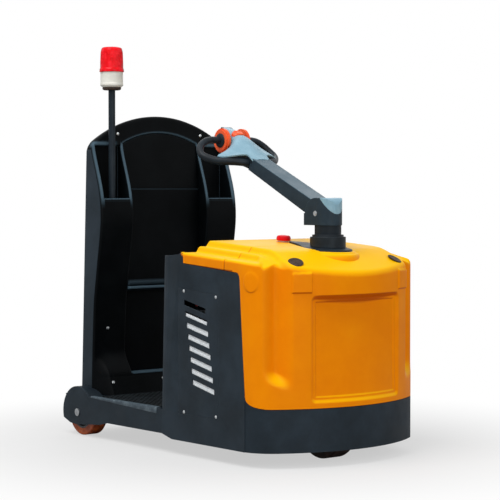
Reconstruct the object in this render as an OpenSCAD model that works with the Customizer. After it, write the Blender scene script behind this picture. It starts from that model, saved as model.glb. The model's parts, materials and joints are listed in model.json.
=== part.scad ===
// Stand-in airport tow tractor: three wheels, steered and driven nose wheel, tiller arm.
// X points forward, Y to the driver's left, Z up. The origin is on the ground, under the
// middle of the machine.

/* [Overall] */
// Hitch mouth to rear axle
rear_overhang = 194; // [180:1:240]
// Rear axle to steering axis
wheelbase = 1092; // [1000:2:1310]
// Steering axis to nose
front_overhang = 194; // [190:1:240]
// Width over the side plates
overall_w = 800; // [760:5:960]
// Height of the standing platform
platform_z = 165; // [150:1:190]
// Underside of the skirt above the ground
ground_gap = 56; // [45:1:70]

/* [Side plates] */
// Thickness of the body plates
plate_t = 6; // [5:0.5:8]
// Underside of the sill above the ground
sill_z = 71; // [62:1:85]
// Radius of the fender over the rear wheel
fender_r = 106; // [102:1:116]
// Step from the sill face out to the cabinet face
side_step = 4; // [2:0.5:6]
// Rear axle to the foot of the bulkhead
stand_l = 549; // [480:1:620]
// Corner radius of the bulkhead
bulk_r = 60; // [40:1:90]
// Lean of the bulkhead, in degrees
bulk_lean = 1.9; // [0:0.1:4]
// Height of the rear edge of the cabinet
cabinet_z = 753; // [720:1:790]

/* [Nose] */
// Radius of the bowed nose
bow_r = 620; // [600:5:800]
// Radius of the nose corners
corner_r = 150; // [120:5:170]
// Top of the dark skirt
skirt_z = 213; // [190:1:240]

/* [Hood] */
// Wall of the moulded hood
hood_t = 5; // [4:0.5:7]
// Height of the hood at its rear end
hood_z = 811; // [790:1:840]
// Fall of the hood towards the nose, in degrees
hood_fall = 3.6; // [2:0.1:5]
// Bulkhead to the rear end of the hood
dash_l = 164; // [140:1:190]
// Length of the rear hood section
rear_hood_l = 257; // [220:1:290]
// Joint between the hood and its neighbours
seam_gap = 2; // [1:0.5:4]
// Bottom edge of the front hood at the side, at the rear end
edge_rear_z = 727; // [715:1:735]
// The same edge where the front hood turns down
edge_front_z = 704; // [695:1:710]
// Nose to the top end of the upright joint
split_top = 224; // [210:1:240]
// Nose to the bottom end of the upright joint
split_low = 196; // [190:1:205]

/* [Recess] */
// Half width of the nose recess
recess_half = 220; // [180:1:240]
// Bottom of the nose recess
recess_low_z = 232; // [225:1:260]
// Top of the nose recess
recess_top_z = 622; // [560:1:640]
// Depth of the nose recess
recess_deep = 10; // [5:1:14]
// Radius of the corner flute
flute_r = 30; // [20:1:36]
// Lower end of the corner flute
flute_z = 345; // [300:1:400]

/* [Backrest] */
// Top of the backrest arch
back_z = 1310; // [1220:2:1400]
// Half width of the backrest
back_half = 352; // [320:1:356]
// Greatest depth of the side bolsters
back_deep = 145; // [125:1:165]
// Wall of the backrest moulding
back_t = 6; // [4:0.5:8]
// Radius of the arch
arch_r = 552; // [500:2:620]
// Half width of the middle panel
panel_half = 190; // [160:1:196]
// Lip of the pockets
pocket_z = 968; // [940:1:1000]
// Floor of the pockets
pocket_floor_z = 900; // [860:1:930]

/* [Beacon] */
// Diameter of the pole
pole_d = 28; // [22:1:34]
// Top of the pole
pole_z = 1409; // [1380:1:1500]
// Diameter of the beacon
beacon_d = 100; // [80:1:120]
// Height of the beacon above the pole
beacon_h = 177; // [150:1:200]

/* [Rear wheels] */
// Rear wheel diameter
rear_d = 190; // [180:1:196]
// Rear wheel width
rear_w = 64; // [50:1:70]
// Side plate to the middle of the tyre
rear_in = 54; // [50:1:60]
// Rear axle diameter
axle_d = 25; // [20:1:30]

/* [Drive] */
// Drive wheel diameter
drive_d = 250; // [230:1:256]
// Drive wheel width
drive_w = 80; // [60:1:84]
// Turntable diameter
turn_d = 220; // [200:1:240]
// Steering neck diameter
neck_d = 100; // [80:1:104]

/* [Tiller] */
// Height of the tiller pivot
pivot_z = 916; // [900:1:960]
// Pivot behind the steering axis
pivot_back = 13; // [5:1:20]
// Rest angle of the arm above level, in degrees
tilt = 25; // [15:1:40]
// Width of the arm
arm_w = 85; // [70:1:88]
// Pivot to the head
arm_l = 440; // [400:2:500]
// Pivot to the thumb wheels
thumb_u = 628; // [600:2:680]
// Thumb wheel diameter
thumb_d = 96; // [80:1:110]

/* [Hitch] */
// Height of the hitch mouth
hitch_z = 225; // [190:1:260]
// Opening of the hitch mouth
hitch_open = 60; // [45:1:80]
// Diameter of the hitch pin
pin_d = 25; // [20:1:32]
// Spacing across of the free mounting holes
hole_across = 120; // [100:5:140]
// Spacing upright of the free mounting holes
hole_up = 55; // [45:1:65]
// Diameter of the free mounting holes
hole_d = 13.5; // [9:0.5:17]

/* [Fits] */
// Radial clearance of a running fit
run_gap = 0.05; // [0.02:0.01:0.1]
// Gap between parts that move past each other
free_gap = 0.3; // [0.2:0.1:1]

/* [Hidden] */
$fn = 64;
over = 40;
half_w = overall_w / 2;
overall_l = rear_overhang + wheelbase + front_overhang;
front_x = overall_l / 2;
hitch_x = -overall_l / 2;
steer_x = front_x - front_overhang;
axle_x = steer_x - wheelbase;
axle_z = rear_d / 2;
bulk_x = axle_x + stand_l;
dash_x = bulk_x + dash_l;
seam_x = dash_x + rear_hood_l;
split_top_x = front_x - split_top;
split_low_x = front_x - split_low;
side_in = half_w - plate_t;
sill_out = half_w - side_step;
sill_in = sill_out - plate_t;
tyre_y = half_w - side_step - rear_in;
pivot_x = steer_x - pivot_back;
bow_x = front_x - bow_r;
corner_y = half_w - corner_r;
corner_x = bow_x + sqrt(pow(bow_r - corner_r, 2) - pow(corner_y, 2));
bow_turn = asin(corner_y / (bow_r - corner_r));
// Small sizes of the body
edge_r = 26;
foot_long = 89;
foot_high = 38;
bulk_t = 5;
tip_l = 8;
tip_z = 20;
panel_x0 = 147;
panel_x1 = 390;
panel_low_z = 160;
panel_high_z = 635;
panel_fall = 18;
panel_t = 3;
panel_gap = 0.8;
panel_ledge = 12;
slot_count = 8;
slot_l = 132;
slot_h = 20;
slot_pitch = 42.4;
slot_shift = 7.3;
slot_first_x = 183;
slot_first_z = 572;
slot_fall = 28;
screw_d = 12;
screw_h = 3;
screw_hole_d = 6;
screw_inset = 8;
// Small sizes of the hood
step_half_shares = [0.835, 0.788, 0.72, 0.66];
step_drop = 21;
nose_back = 110;
nose_in = 8;
nose_high_z = 781;
nose_low_z = 724;
boss_w = 68;
boss_h = 71;
boss_t = 4;
boss_top_z = 703;
boss_in = 214;
plug_d = 58;
plug_t = 4;
plug_y = 238;
plug_run = 82;
deck_r = 92;
deck_tip_r = 12;
deck_tip_l = 205;
deck_t = 4;
collar_d = 134;
collar_top_z = 837;
collar_lip_d = 118;
collar_lip_h = 8;
neck_gap = 1.5;
neck_wall = 8;
stop_back = 257;
stop_d = 54;
stop_h = 14;
stop_rim_h = 6;
stop_stem_d = 22;
stop_base_d = 40;
stop_base_h = 6;
stop_travel = 5;
stop_body_d = 30;
stop_body_h = 46;
// Small sizes of the chassis
rail_y = 210;
rail_w = 60;
rail_h = 68;
rail_t = 5;
tail_t = 8;
tail_back = 94;
tail_half = 250;
tail_top_z = 360;
well_t = 4;
well_half = 106;
bay_x = 390;
bay_z = 83;
bay_t = 6;
wall_t = 8;
turn_plate_z = 306;
turn_plate_t = 12;
turn_plate_in = 26;
turn_hole_gap = 5;
rib_y = 200;
rib_t = 6;
rib_low_z = 70;
rib_tab_gap = 8;
post_y = 222;
post_w = 30;
post_l = 44;
bracket_y = 322;
bracket_t = 6;
bracket_top_z = 580;
bracket_x0 = 150;
// Small sizes of the drive unit
turn_z = 276;
turn_h = 36;
turn_bore = 60;
ring_w = 36;
ring_h = 30;
gear_top_t = 20;
gear_top_r = 105;
gear_gap = 4;
gear_w = 58;
gear_r = 62;
shaft_d = 45;
shaft_l = 50;
drive_z = drive_d / 2;
tyre_t = 28;
drive_rim_t = 14;
drive_web_t = 16;
motor_r = 88;
motor_h = 188;
motor_rib_t = 3;
motor_ribs = 8;
brake_r = 62;
brake_h = 56;
leg_t = 10;
leg_w = 60;
leg_out = 104;
leg_top_z = 590;
beam_t = 16;
// Small sizes of the tiller
yoke_r = 53;
yoke_back = 77;
yoke_low_z = 872;
yoke_floor = 6;
yoke_block_top = 1;
ear_r = 58;
cap_r = 30;
cap_top = 12;
cap_low = -3;
root_r = 38;
root_gap = 4;
pin_r = 10;
pin_head_d = 14;
pin_head_h2 = 1.5;
arm_wall = 4;
arm_up = 30;
arm_half = 31;
arm_end_half = 25;
arm_shift = 3;
head_w = 96;
head_mid_w = 92;
head_nose_w = 64;
wing_w = 294;
wing_u = 510;
wing_l = 12;
wing_t = 8;
wing_root_l = 106;
wing_root_top = 34;
head_top = 54;
head_nose_top = 58;
head_end = 680;
head_low = 14;
bar_d = 20;
thumb_v = 19;
thumb_w = 17;
thumb_gap = 5;
thumb_in = 38;
thumb_lobe = 6;
horn_d = 22;
horn_h = 8;
horn_proud = 9;
horn_travel = 3;
horn_u = 600;
belly_w = 50;
belly_high = 40;
belly_h = 13;
belly_travel = 6;
loop_r = 13;
loop_sides = 12;
// Centre line of one grip loop: along the arm, above the arm, out to the side
loop_path = [
    [628, 19, 66], [630, 20, 84], [631, 19, 104], [629, 16, 124], [624, 9, 144], [615, 1, 160],
    [600, -8, 173], [582, -14, 181], [562, -18, 183], [540, -19, 176], [520, -18, 165],
    [500, -14, 150], [484, -10, 136], [468, -7, 120], [454, -6, 102], [444, -7, 82],
    [439, -6, 64], [440, -2, 46]
];
// Small sizes of the backrest
back_x = axle_x - 33;
back_low_z = platform_z;
back_h = back_z - back_low_z;
back_lean_share = 0.31;
// Height and depth of the bolster's front edge, from foot to top
bolster_shares = [
    [0, 0.52], [0.18, 0.57], [0.341, 0.64], [0.44, 0.77], [0.544, 0.91], [0.59, 0.97], [0.632, 1],
    [0.68, 0.98], [0.729, 0.91], [0.775, 0.79], [0.816, 0.67], [0.875, 0.5], [0.93, 0.44], [1, 0.42]
];
back_corner = 30;
mid_deep = 93;
mid_top_z = 1241;
mid_arch_r = 420;
mid_bend_z = 1004;
mid_lean = 26;
mid_low_z = 592;
mid_t = 8;
mid_gap = 0.5;
lip_h = 38;
lip_out = 22;
kick_low_z = 250;
kick_deep = 58;
kick_gap = 6;
toe_out = 40;
toe_top_z = 240;
toe_half = 310;
toe_flare = 29;
toe_screw_z = 219;
toe_screw_y = [-293, -42, 42, 293];
side_screw_y = 282;
side_screw_z = 437;
pocket_in = 205;
pocket_out = 330;
pocket_wall = 5;
pocket_back = 50;
pocket_front = 130;
pocket_top_z = 1184;
well_clear = 4;
cover_t = 4;
pole_x = axle_x + 67;
pole_y = 268;
flange_d = 56;
flange_h = 6;
mat_t = 4;
mat_x0 = 130;
mat_edge = 14;
stud_d = 10;
stud_h = 2;
stud_pitch = 26;
// Height shares of the beacon from its foot
beacon_neck_share = 0.07;
beacon_base_share = 0.42;
beacon_flange_share = 0.08;
lens_t = 3;
bulb_d = 18;
bulb_h = 40;
bulb_foot_d = 26;
bulb_foot_h = 10;
dish_r = 34;
dish_t = 2;
dish_h = 50;
dish_ring_h = 6;
// Small sizes of the hitch
hitch_plate_t = 12;
hitch_plate_w = 200;
hitch_plate_low = 135;
hitch_plate_top = 350;
jaw_t = 18;
jaw_half = 45;
jaw_back_t = 14;
pin_back = 48;
pin_head_h = 8;
pin_over = 12;
pin_ring_r = 20;
pin_wire = 4;
hole_top = 40;
// Small sizes of the electrical parts
battery_x0 = 60;
battery_x1 = 372;
battery_half = 298;
battery_top = 520;
battery_post_d = 18;
battery_post_h = 20;
battery_lid_h = 30;
battery_lid_gap = 12;
sink_x0 = 165;
sink_x1 = 385;
sink_z0 = 262;
sink_z1 = 556;
sink_t = 8;
sink_gap = 6;
fin_pitch = 22;
fin_t = 4;
fin_h = 5;
contactor_l = 60;
contactor_w = 42;
contactor_h = 22;
horn_body_d = 90;
horn_body_t = 40;
horn_body_x = 590;
horn_body_z = 200;
cable_r = 7;
cable_x = 200;
cable_step = 60;
cable_y = 240;
dash_t = 5;
dash_front_z = 768;
display_w = 110;
display_t = 4;
display_y = 60;
lock_d = 26;
lock_h = 30;
lock_y = -110;
lock_x = 60;
key_d = 22;
key_t = 3;
key_h = 20;

// Points on an arc or ellipse from angle a0 to a1
function arc(cx, cy, rx, ry, a0, a1, n) =
    [for (i = [0:n]) let (a = a0 + (a1 - a0) * i / n) [cx + rx * cos(a), cy + ry * sin(a)]];

// Joint between side plate and hood, seen from the side, moved outwards by g
function joint_line(g) = concat(
    [[dash_x + tip_l, edge_rear_z + g]],
    arc(split_top_x - edge_r, edge_front_z - edge_r, edge_r + g, edge_r + g, 90, 8, 8),
    arc(split_low_x + foot_long, skirt_z + foot_high, foot_long - g, foot_high - g, 180, 270, 12)
);

// Plan of the nose from x0 forward, moved inwards by i
module nose_plan(x0, i) {
    bow = arc(bow_x, 0, bow_r - i, bow_r - i, -bow_turn, bow_turn, 28);
    right = arc(corner_x, -corner_y, corner_r - i, corner_r - i, -90, -bow_turn, 14);
    left = arc(corner_x, corner_y, corner_r - i, corner_r - i, bow_turn, 90, 14);
    polygon(concat([[x0, -(half_w - i)]], right, bow, left, [[x0, half_w - i]]));
}

// Makes a part and its mirror image on the other side
module both_sides() {
    for (s = [0, 1])
        mirror([0, s, 0])
            children();
}

// Draws a side view outline as a slab from y0 to y1
module slab(y0, y1) {
    translate([0, y1, 0])
        rotate([90, 0, 0])
            linear_extrude(y1 - y0)
                children();
}

// Draws a front view outline as a bar from x0 to x1
module bar(x0, x1) {
    translate([x0, 0, 0])
        rotate([90, 0, 90])
            linear_extrude(x1 - x0)
                children();
}

// A cylinder along Y from y0 to y1
module pin_y(x, z, d, y0, y1) {
    translate([x, y1, z])
        rotate([90, 0, 0])
            cylinder(d = d, h = y1 - y0);
}

module sill_outline() {
    high = asin((platform_z - axle_z) / fender_r);
    fender = arc(axle_x, axle_z, fender_r, fender_r, high, 196, 28);
    foot_z = axle_z / 2;
    polygon(concat(fender, [
        [axle_x - fender_r / 2, foot_z],
        [axle_x, foot_z - plate_t / 2],
        [axle_x + fender_r * 3 / 2, sill_z - plate_t * 2],
        [axle_x + fender_r * 2, sill_z],
        [bulk_x + bulk_r * 3 / 2, sill_z],
        [bulk_x + bulk_r * 3 / 2, platform_z]
    ]));
}

module cabinet_outline() {
    lean = tan(bulk_lean);
    rear_x = bulk_x + bulk_r;
    polygon(concat(
        [
            [split_low_x, ground_gap],
            [rear_x + bulk_r * 2 / 3, ground_gap],
            [rear_x - bulk_r / 3, sill_z],
            [rear_x - bulk_r / 3, platform_z],
            [rear_x, platform_z],
            [rear_x + lean * (cabinet_z - platform_z), cabinet_z],
            [dash_x - tip_z, cabinet_z + tip_l],
            [dash_x, dash_front_z],
            [dash_x + tip_l, dash_front_z - tip_z]
        ],
        [for (p = joint_line(0)) if (p[0] <= split_low_x + plate_t / over) p]
    ));
}

// Vent panel seen from the side, grown by g
module panel_outline(g) {
    polygon([
        [panel_x0 - g, panel_low_z - g],
        [panel_x1 + g, panel_low_z - g],
        [panel_x1 + g, panel_high_z - panel_fall + g],
        [panel_x0 - g, panel_high_z + g]
    ]);
}

// Plate of the left side
module side_plate() {
    difference() {
        union() {
            slab(sill_in, sill_out)
                sill_outline();
            slab(side_in, half_w)
                cabinet_outline();
        }
        slab(half_w - panel_t, half_w + over)
            panel_outline(panel_gap);
        slab(side_in - over, half_w)
            panel_outline(-panel_ledge);
        for (p = panel_screws())
            pin_y(p[0], p[1], screw_hole_d, side_in - over, half_w);
        pin_y(axle_x, axle_z, axle_d, sill_in - over, half_w);
    }
}

function panel_screws() = [
    for (x = [panel_x0 + panel_ledge * 3, panel_x1 - panel_ledge])
        for (low = [0, 1])
            [x, low == 1
                ? panel_low_z + screw_inset
                : panel_high_z - screw_inset - panel_fall * (x - panel_x0) / (panel_x1 - panel_x0)]
];

module right_side_plate() {
    color("#2f363e")
        mirror([0, 1, 0])
            side_plate();
}

module left_side_plate() {
    color("#2f363e")
        side_plate();
}

module vent_panel() {
    difference() {
        slab(half_w - panel_t, half_w)
            panel_outline(0);
        slab(half_w - panel_t - over, half_w + over)
            for (i = [0:slot_count - 1])
                translate([slot_first_x + slot_shift * i, slot_first_z - slot_pitch * i])
                    polygon([[0, 0], [slot_l, -slot_fall], [slot_l, -slot_fall + slot_h], [0, slot_h]]);
        for (p = panel_screws())
            pin_y(p[0], p[1], screw_hole_d, side_in - over, half_w + over);
    }
}

module right_vent_panel() {
    color("#30373f")
        mirror([0, 1, 0])
            vent_panel();
}

module left_vent_panel() {
    color("#30373f")
        vent_panel();
}

// Dome headed screw whose head starts at the origin and stands along +Z
module screw(length) {
    intersection() {
        cylinder(d = screw_d, h = screw_h);
        translate([0, 0, screw_h - screw_d])
            sphere(r = screw_d);
    }
    translate([0, 0, -length])
        cylinder(d = screw_hole_d, h = length);
}

function back_screws() = [
    for (s = [-1, 1]) for (p = [[panel_half * 9 / 8, back_z - 2 * lip_h], [side_screw_y, side_screw_z]])
        [s * p[0], p[1]]
];

// Front face of the backrest's foot at height z, and its slope
function toe_front(z) = back_x + mid_deep + toe_out + toe_flare * (toe_top_z - z) / (toe_top_z - back_low_z);

toe_slope = atan(toe_flare / (toe_top_z - back_low_z));

module body_screws() {
    color("#c9ccd0") {
        both_sides()
            for (p = panel_screws())
                translate([p[0], half_w, p[1]])
                    rotate([-90, 0, 0])
                        screw(plate_t);
        for (p = back_screws())
            translate([back_front(p[1]), p[0], p[1]])
                rotate([0, 90, 0])
                    screw(back_t);
        for (y = toe_screw_y)
            translate([toe_front(toe_screw_z), y, toe_screw_z])
                rotate([0, 90 - toe_slope, 0])
                    screw(back_t);
    }
}

// Skirt round the nose
module front_skirt() {
    color("#2f363e")
        intersection() {
            translate([0, 0, ground_gap])
                linear_extrude(edge_front_z)
                    difference() {
                        nose_plan(split_low_x, 0);
                        nose_plan(split_low_x - over, plate_t);
                    }
            slab(-overall_w, overall_w)
                polygon(concat(
                    [[split_low_x, ground_gap]],
                    [[front_x + over, ground_gap]],
                    [[front_x + over, skirt_z]],
                    arc(split_low_x + foot_long, skirt_z + foot_high, foot_long, foot_high, 270, 180, 12)
                ));
        }
}

// Wall between platform and cabinet
module bulkhead() {
    lean_l = tan(bulk_lean) * (cabinet_z - platform_z);
    color("#2b3138")
        intersection() {
            translate([bulk_x, 0, platform_z])
                rotate([0, bulk_lean, 0])
                    translate([0, 0, -over])
                        linear_extrude(cabinet_z)
                            difference() {
                                bulk_plan(0);
                                bulk_plan(bulk_t);
                            }
            slab(-overall_w, overall_w)
                polygon([
                    [bulk_x - over, platform_z],
                    [bulk_x + bulk_r, platform_z],
                    [bulk_x + bulk_r + lean_l, cabinet_z],
                    [bulk_x - over, cabinet_z]
                ]);
        }
}

module bulk_plan(i) {
    y = half_w - bulk_r;
    polygon(concat(
        arc(bulk_r, y, bulk_r - i, bulk_r - i, 90, 180, 10),
        arc(bulk_r, -y, bulk_r - i, bulk_r - i, 180, 270, 10),
        [[bulk_r + dash_l, -(half_w - i)], [bulk_r + dash_l, half_w - i]]
    ));
}

// Steps of the hood seen from the front, moved inwards by i
function step_points(i) = [
    for (s = [-1, 1]) for (k = s < 0 ? [0, 1, 2, 3, 4, 5] : [5, 4, 3, 2, 1, 0])
        k == 0 ? [s * (half_w - i), -hood_z]
        : k == 1 ? [s * (half_w - i), -2 * step_drop - i]
        : [s * (half_w * step_half_shares[k - 2] - i), -step_drop * (k > 4 ? 0 : k > 2 ? 1 : 2) - i]
];

// Solid form of the hood, moved inwards by i
module hood_form(i) {
    intersection() {
        translate([0, 0, ground_gap])
            linear_extrude(hood_z)
                nose_plan(dash_x, i);
        translate([dash_x, 0, hood_z])
            rotate([0, hood_fall, 0])
                bar(-over, overall_l)
                    polygon(step_points(i));
        translate([bow_x, 0, 0])
            rotate_extrude()
                polygon([
                    [0, 0],
                    [bow_r + over, 0],
                    [bow_r + over, nose_low_z - over - i],
                    [bow_r - nose_in - i, nose_low_z - i],
                    [bow_r - nose_back - i, nose_high_z - i],
                    [bow_r - nose_back * 2 - i, hood_z],
                    [0, hood_z]
                ]);
    }
}

// What the side plates and the skirt take from the hood
module below_joint() {
    slab(-overall_w, overall_w)
        polygon(concat(
            [
                [bulk_x, 0],
                [bulk_x, dash_front_z + seam_gap],
                [dash_x + seam_gap / 2, dash_front_z + seam_gap],
                [dash_x + tip_l + seam_gap, dash_front_z - tip_z + seam_gap],
                [dash_x + tip_l + seam_gap, edge_rear_z + seam_gap]
            ],
            [for (p = joint_line(seam_gap)) if (p[0] > dash_x + tip_l + seam_gap) p],
            [[front_x + over, skirt_z + seam_gap], [front_x + over, 0]]
        ));
}

module rear_hood() {
    color("#f2a517")
        difference() {
            intersection() {
                hood_form(0);
                translate([dash_x, -overall_w, 0])
                    cube([rear_hood_l - seam_gap / 2, 2 * overall_w, hood_z]);
            }
            hood_form(hood_t);
            below_joint();
            on_hood(steer_x - stop_back)
                translate([0, 0, -over])
                    cylinder(d = stop_body_d, h = 2 * over);
        }
}

module recess_form(grow, deep) {
    intersection() {
        translate([0, 0, recess_low_z - grow])
            linear_extrude(recess_top_z - recess_low_z + 2 * grow)
                difference() {
                    nose_plan(corner_x, -over);
                    nose_plan(corner_x, deep);
                }
        translate([corner_x, -recess_half - grow, 0])
            cube([bow_r, 2 * (recess_half + grow), hood_z]);
    }
}

module flutes(grow) {
    turn = 50;
    for (s = [-1, 1])
        translate([corner_x + corner_r * sin(turn), s * (corner_y + corner_r * cos(turn)), flute_z])
            union() {
                cylinder(r = flute_r + grow, h = hood_z);
                sphere(r = flute_r + grow);
            }
}

module bosses() {
    for (s = [-1, 1])
        intersection() {
            translate([0, 0, boss_top_z - boss_h])
                linear_extrude(boss_h)
                    difference() {
                        nose_plan(corner_x, -boss_t);
                        nose_plan(corner_x, hood_t / 2);
                    }
            translate([corner_x, s > 0 ? boss_in : -boss_in - boss_w, 0])
                cube([bow_r, boss_w, hood_z]);
        }
}

module front_hood() {
    color("#f0920f")
        difference() {
            union() {
                intersection() {
                    hood_form(0);
                    translate([seam_x + seam_gap / 2, -overall_w, 0])
                        cube([overall_l, 2 * overall_w, hood_z]);
                }
                bosses();
            }
            difference() {
                hood_form(hood_t);
                recess_form(hood_t, recess_deep + hood_t);
                flutes(hood_t);
            }
            recess_form(0, recess_deep);
            flutes(0);
            below_joint();
            translate([steer_x, 0, 0])
                cylinder(d = neck_d + 4 * neck_gap, h = hood_z);
            for (s = [-1, 1])
                plug_place(s)
                    translate([0, 0, -over])
                        cylinder(d = screw_hole_d, h = 2 * over);
        }
}

// Lays a part on the sloping top of the hood
module on_hood(x) {
    translate([x, 0, hood_z - (x - dash_x) * tan(hood_fall)])
        rotate([0, hood_fall, 0])
            children();
}

module deck_plate() {
    color("#3a3f46")
        difference() {
            on_hood(steer_x)
                linear_extrude(deck_t)
                    hull() {
                        circle(r = deck_r);
                        translate([-deck_tip_l, 0])
                            circle(r = deck_tip_r);
                    }
            translate([steer_x, 0, 0])
                cylinder(d = neck_d + 4 * neck_gap, h = back_z);
        }
}

// Two round covers over the hood fasteners
module hood_plugs() {
    color("#4a4038")
        for (s = [-1, 1])
            plug_place(s)
                cylinder(d = plug_d, h = plug_t);
}

// Plug seats: flat on the sloping shoulder
module plug_place(s) {
    turn = atan(plug_y / (front_x - nose_back - bow_x));
    slope = atan((nose_high_z - nose_low_z) / (nose_back - nose_in));
    translate([bow_x, 0, nose_high_z])
        rotate([0, 0, s * turn])
            translate([bow_r - nose_back, 0, 0])
                rotate([0, slope, 0])
                    translate([plug_run, 0, free_gap])
                        children();
}

module steering_collar() {
    color("#15181c")
        difference() {
            translate([steer_x, 0, hood_z - collar_d])
                union() {
                    cylinder(d = collar_d, h = collar_top_z - collar_lip_h - hood_z + collar_d);
                    cylinder(d = collar_lip_d, h = collar_top_z - hood_z + collar_d);
                }
            on_hood(steer_x)
                translate([-overall_l, -overall_w, deck_t - overall_l])
                    cube([2 * overall_l, 2 * overall_w, overall_l]);
            translate([steer_x, 0, 0])
                cylinder(d = neck_d + 2 * neck_gap, h = back_z);
        }
}

// Front surface of the backrest's side walls at height z
function back_front(z) = back_x + back_deep * lookup((z - back_low_z) / back_h, bolster_shares);

// Side view of the backrest, front moved back by i
function back_side(i) = concat(
    [[back_x + back_deep * back_lean_share, back_z + over], [back_x, back_low_z]],
    [for (p = bolster_shares) [back_x + back_deep * p[1] - i, back_low_z + back_h * p[0]]],
    [[back_front(back_z) - i, back_z + over]]
);

// Front view of the backrest, moved inwards by i
module back_face(i) {
    side_z = back_z - arch_r + sqrt(pow(arch_r, 2) - pow(back_half, 2));
    turn = asin((back_half - back_corner / 2) / arch_r);
    polygon(concat(
        [[-(back_half - i), back_low_z], [-(back_half - i), side_z - back_corner]],
        arc(0, back_z - arch_r, arch_r - i, arch_r - i, 90 + turn, 90 - turn, 40),
        [[back_half - i, side_z - back_corner], [back_half - i, back_low_z]]
    ));
}

// Middle panel seen from the front, moved inwards by i
module mid_face(i) {
    turn = asin((panel_half - back_corner / 2) / mid_arch_r);
    side_z = mid_top_z - mid_arch_r + sqrt(pow(mid_arch_r, 2) - pow(panel_half, 2));
    polygon(concat(
        [[-(panel_half - i), mid_low_z + i], [-(panel_half - i), side_z - back_corner / 2]],
        arc(0, mid_top_z - mid_arch_r, mid_arch_r - i, mid_arch_r - i, 90 + turn, 90 - turn, 24),
        [[panel_half - i, side_z - back_corner / 2], [panel_half - i, mid_low_z + i]]
    ));
}

// Side view of everything in front of the middle panel, moved forward by i
module mid_side(i) {
    x = back_x + mid_deep + i;
    polygon([
        [x, mid_low_z - over],
        [x, mid_bend_z],
        [x - mid_lean, mid_top_z + over],
        [x + back_deep * 2, mid_top_z + over],
        [x + back_deep * 2, mid_low_z - over]
    ]);
}

module wheel_wells(grow) {
    both_sides()
        pin_y(axle_x, axle_z, 2 * (fender_r + grow), side_in - fender_r - grow, half_w + over);
}

module backrest_shell() {
    color("#24292f")
        difference() {
            union() {
                intersection() {
                    slab(-overall_w, overall_w)
                        polygon(back_side(0));
                    bar(back_x - over, back_x + 3 * back_deep)
                        back_face(0);
                }
                slab(-toe_half, toe_half)
                    polygon([
                        [back_x + mid_deep - toe_out, back_low_z],
                        [toe_front(back_low_z), back_low_z],
                        [toe_front(toe_top_z), toe_top_z],
                        [back_x + mid_deep - toe_out, toe_top_z]
                    ]);
            }
            // Hollow behind the skin, with walls left round the pockets
            difference() {
                intersection() {
                    slab(-overall_w, overall_w)
                        polygon(back_side(back_t));
                    bar(back_x - over, back_x + 3 * back_deep)
                        back_face(back_t);
                }
                intersection() {
                    slab(-overall_w, overall_w)
                        mid_side(-mid_t - back_t);
                    bar(back_x, back_x + 3 * back_deep)
                        mid_face(-back_t);
                }
                pocket_blocks(pocket_wall);
                kick_seat(back_t);
                translate([back_x, -back_half, back_low_z])
                    cube([2 * back_deep, 2 * back_half, back_t]);
                both_sides()
                    pin_y(axle_x, axle_z, 2 * (fender_r + well_clear + back_t), tyre_y - rear_w, half_w);
            }
            intersection() {
                slab(-overall_w, overall_w)
                    mid_side(-mid_t);
                bar(back_x, back_x + 3 * back_deep)
                    mid_face(0);
            }
            kick_seat(0);
            pocket_blocks(0);
            both_sides()
                pin_y(axle_x, axle_z, 2 * (fender_r + well_clear), tyre_y - rear_w + back_t, half_w);
            for (p = back_screws())
                translate([back_front(p[1]), p[0], p[1]])
                    rotate([0, 90, 0]) {
                        cylinder(d = screw_hole_d, h = 2 * over, center = true);
                        cylinder(d = screw_d + 2 * free_gap, h = over);
                    }
            for (y = toe_screw_y)
                translate([toe_front(toe_screw_z), y, toe_screw_z])
                    rotate([0, 90 - toe_slope, 0])
                        translate([0, 0, -back_t])
                            cylinder(d = screw_hole_d, h = over);
        }
}

// Seat of the kick panel, grown by g
module kick_seat(g) {
    translate([back_x + kick_deep - g, -panel_half - g, kick_low_z - g])
        cube([back_deep, 2 * (panel_half + g), mid_low_z - kick_low_z - kick_gap + 2 * g]);
}

// Space of the two pockets, grown by g
module pocket_blocks(g) {
    both_sides() {
        translate([back_x + pocket_back - g, pocket_in - g, pocket_z])
            cube([back_deep * 2, pocket_out - pocket_in + 2 * g, pocket_top_z - pocket_z + g]);
        translate([back_x + pocket_back - g, pocket_in - g, pocket_floor_z - g])
            cube([
                pocket_front - pocket_back + 2 * g,
                pocket_out - pocket_in + 2 * g,
                pocket_z - pocket_floor_z + 2 * g
            ]);
    }
}

module back_panel() {
    color("#22262c") {
        intersection() {
            difference() {
                slab(-overall_w, overall_w)
                    mid_side(-mid_t);
                slab(-overall_w, overall_w)
                    mid_side(0);
            }
            bar(back_x, back_x + 3 * back_deep)
                mid_face(mid_gap);
        }
        translate([back_x + mid_deep - mid_t, -panel_half + mid_gap, mid_low_z + mid_gap])
            cube([mid_t + lip_out, 2 * (panel_half - mid_gap), lip_h]);
    }
}

module kick_panel() {
    color("#22262c")
        translate([back_x + kick_deep, -panel_half + mid_gap, kick_low_z + mid_gap])
            cube([mid_t / 2, 2 * (panel_half - mid_gap), mid_low_z - kick_low_z - kick_gap - 2 * mid_gap]);
}

// Lid over the hollow back of the backrest
module backrest_cover() {
    color("#24292f")
        difference() {
            intersection() {
                slab(-overall_w, overall_w)
                    polygon([
                        [back_x, back_low_z + back_t],
                        [back_x + back_deep * back_lean_share, back_z + over],
                        [back_x + back_deep * back_lean_share + cover_t, back_z + over],
                        [back_x + cover_t, back_low_z + back_t]
                    ]);
                bar(back_x - over, back_x + 2 * back_deep)
                    back_face(back_t + mid_gap);
                translate([-overall_l, -overall_w, back_low_z + back_t + mid_gap])
                    cube([2 * overall_l, 2 * overall_w, back_z]);
            }
            both_sides()
                pin_y(axle_x, axle_z, 2 * (fender_r + well_clear + back_t + mid_gap), tyre_y - rear_w - mid_gap, half_w);
        }
}

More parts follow.
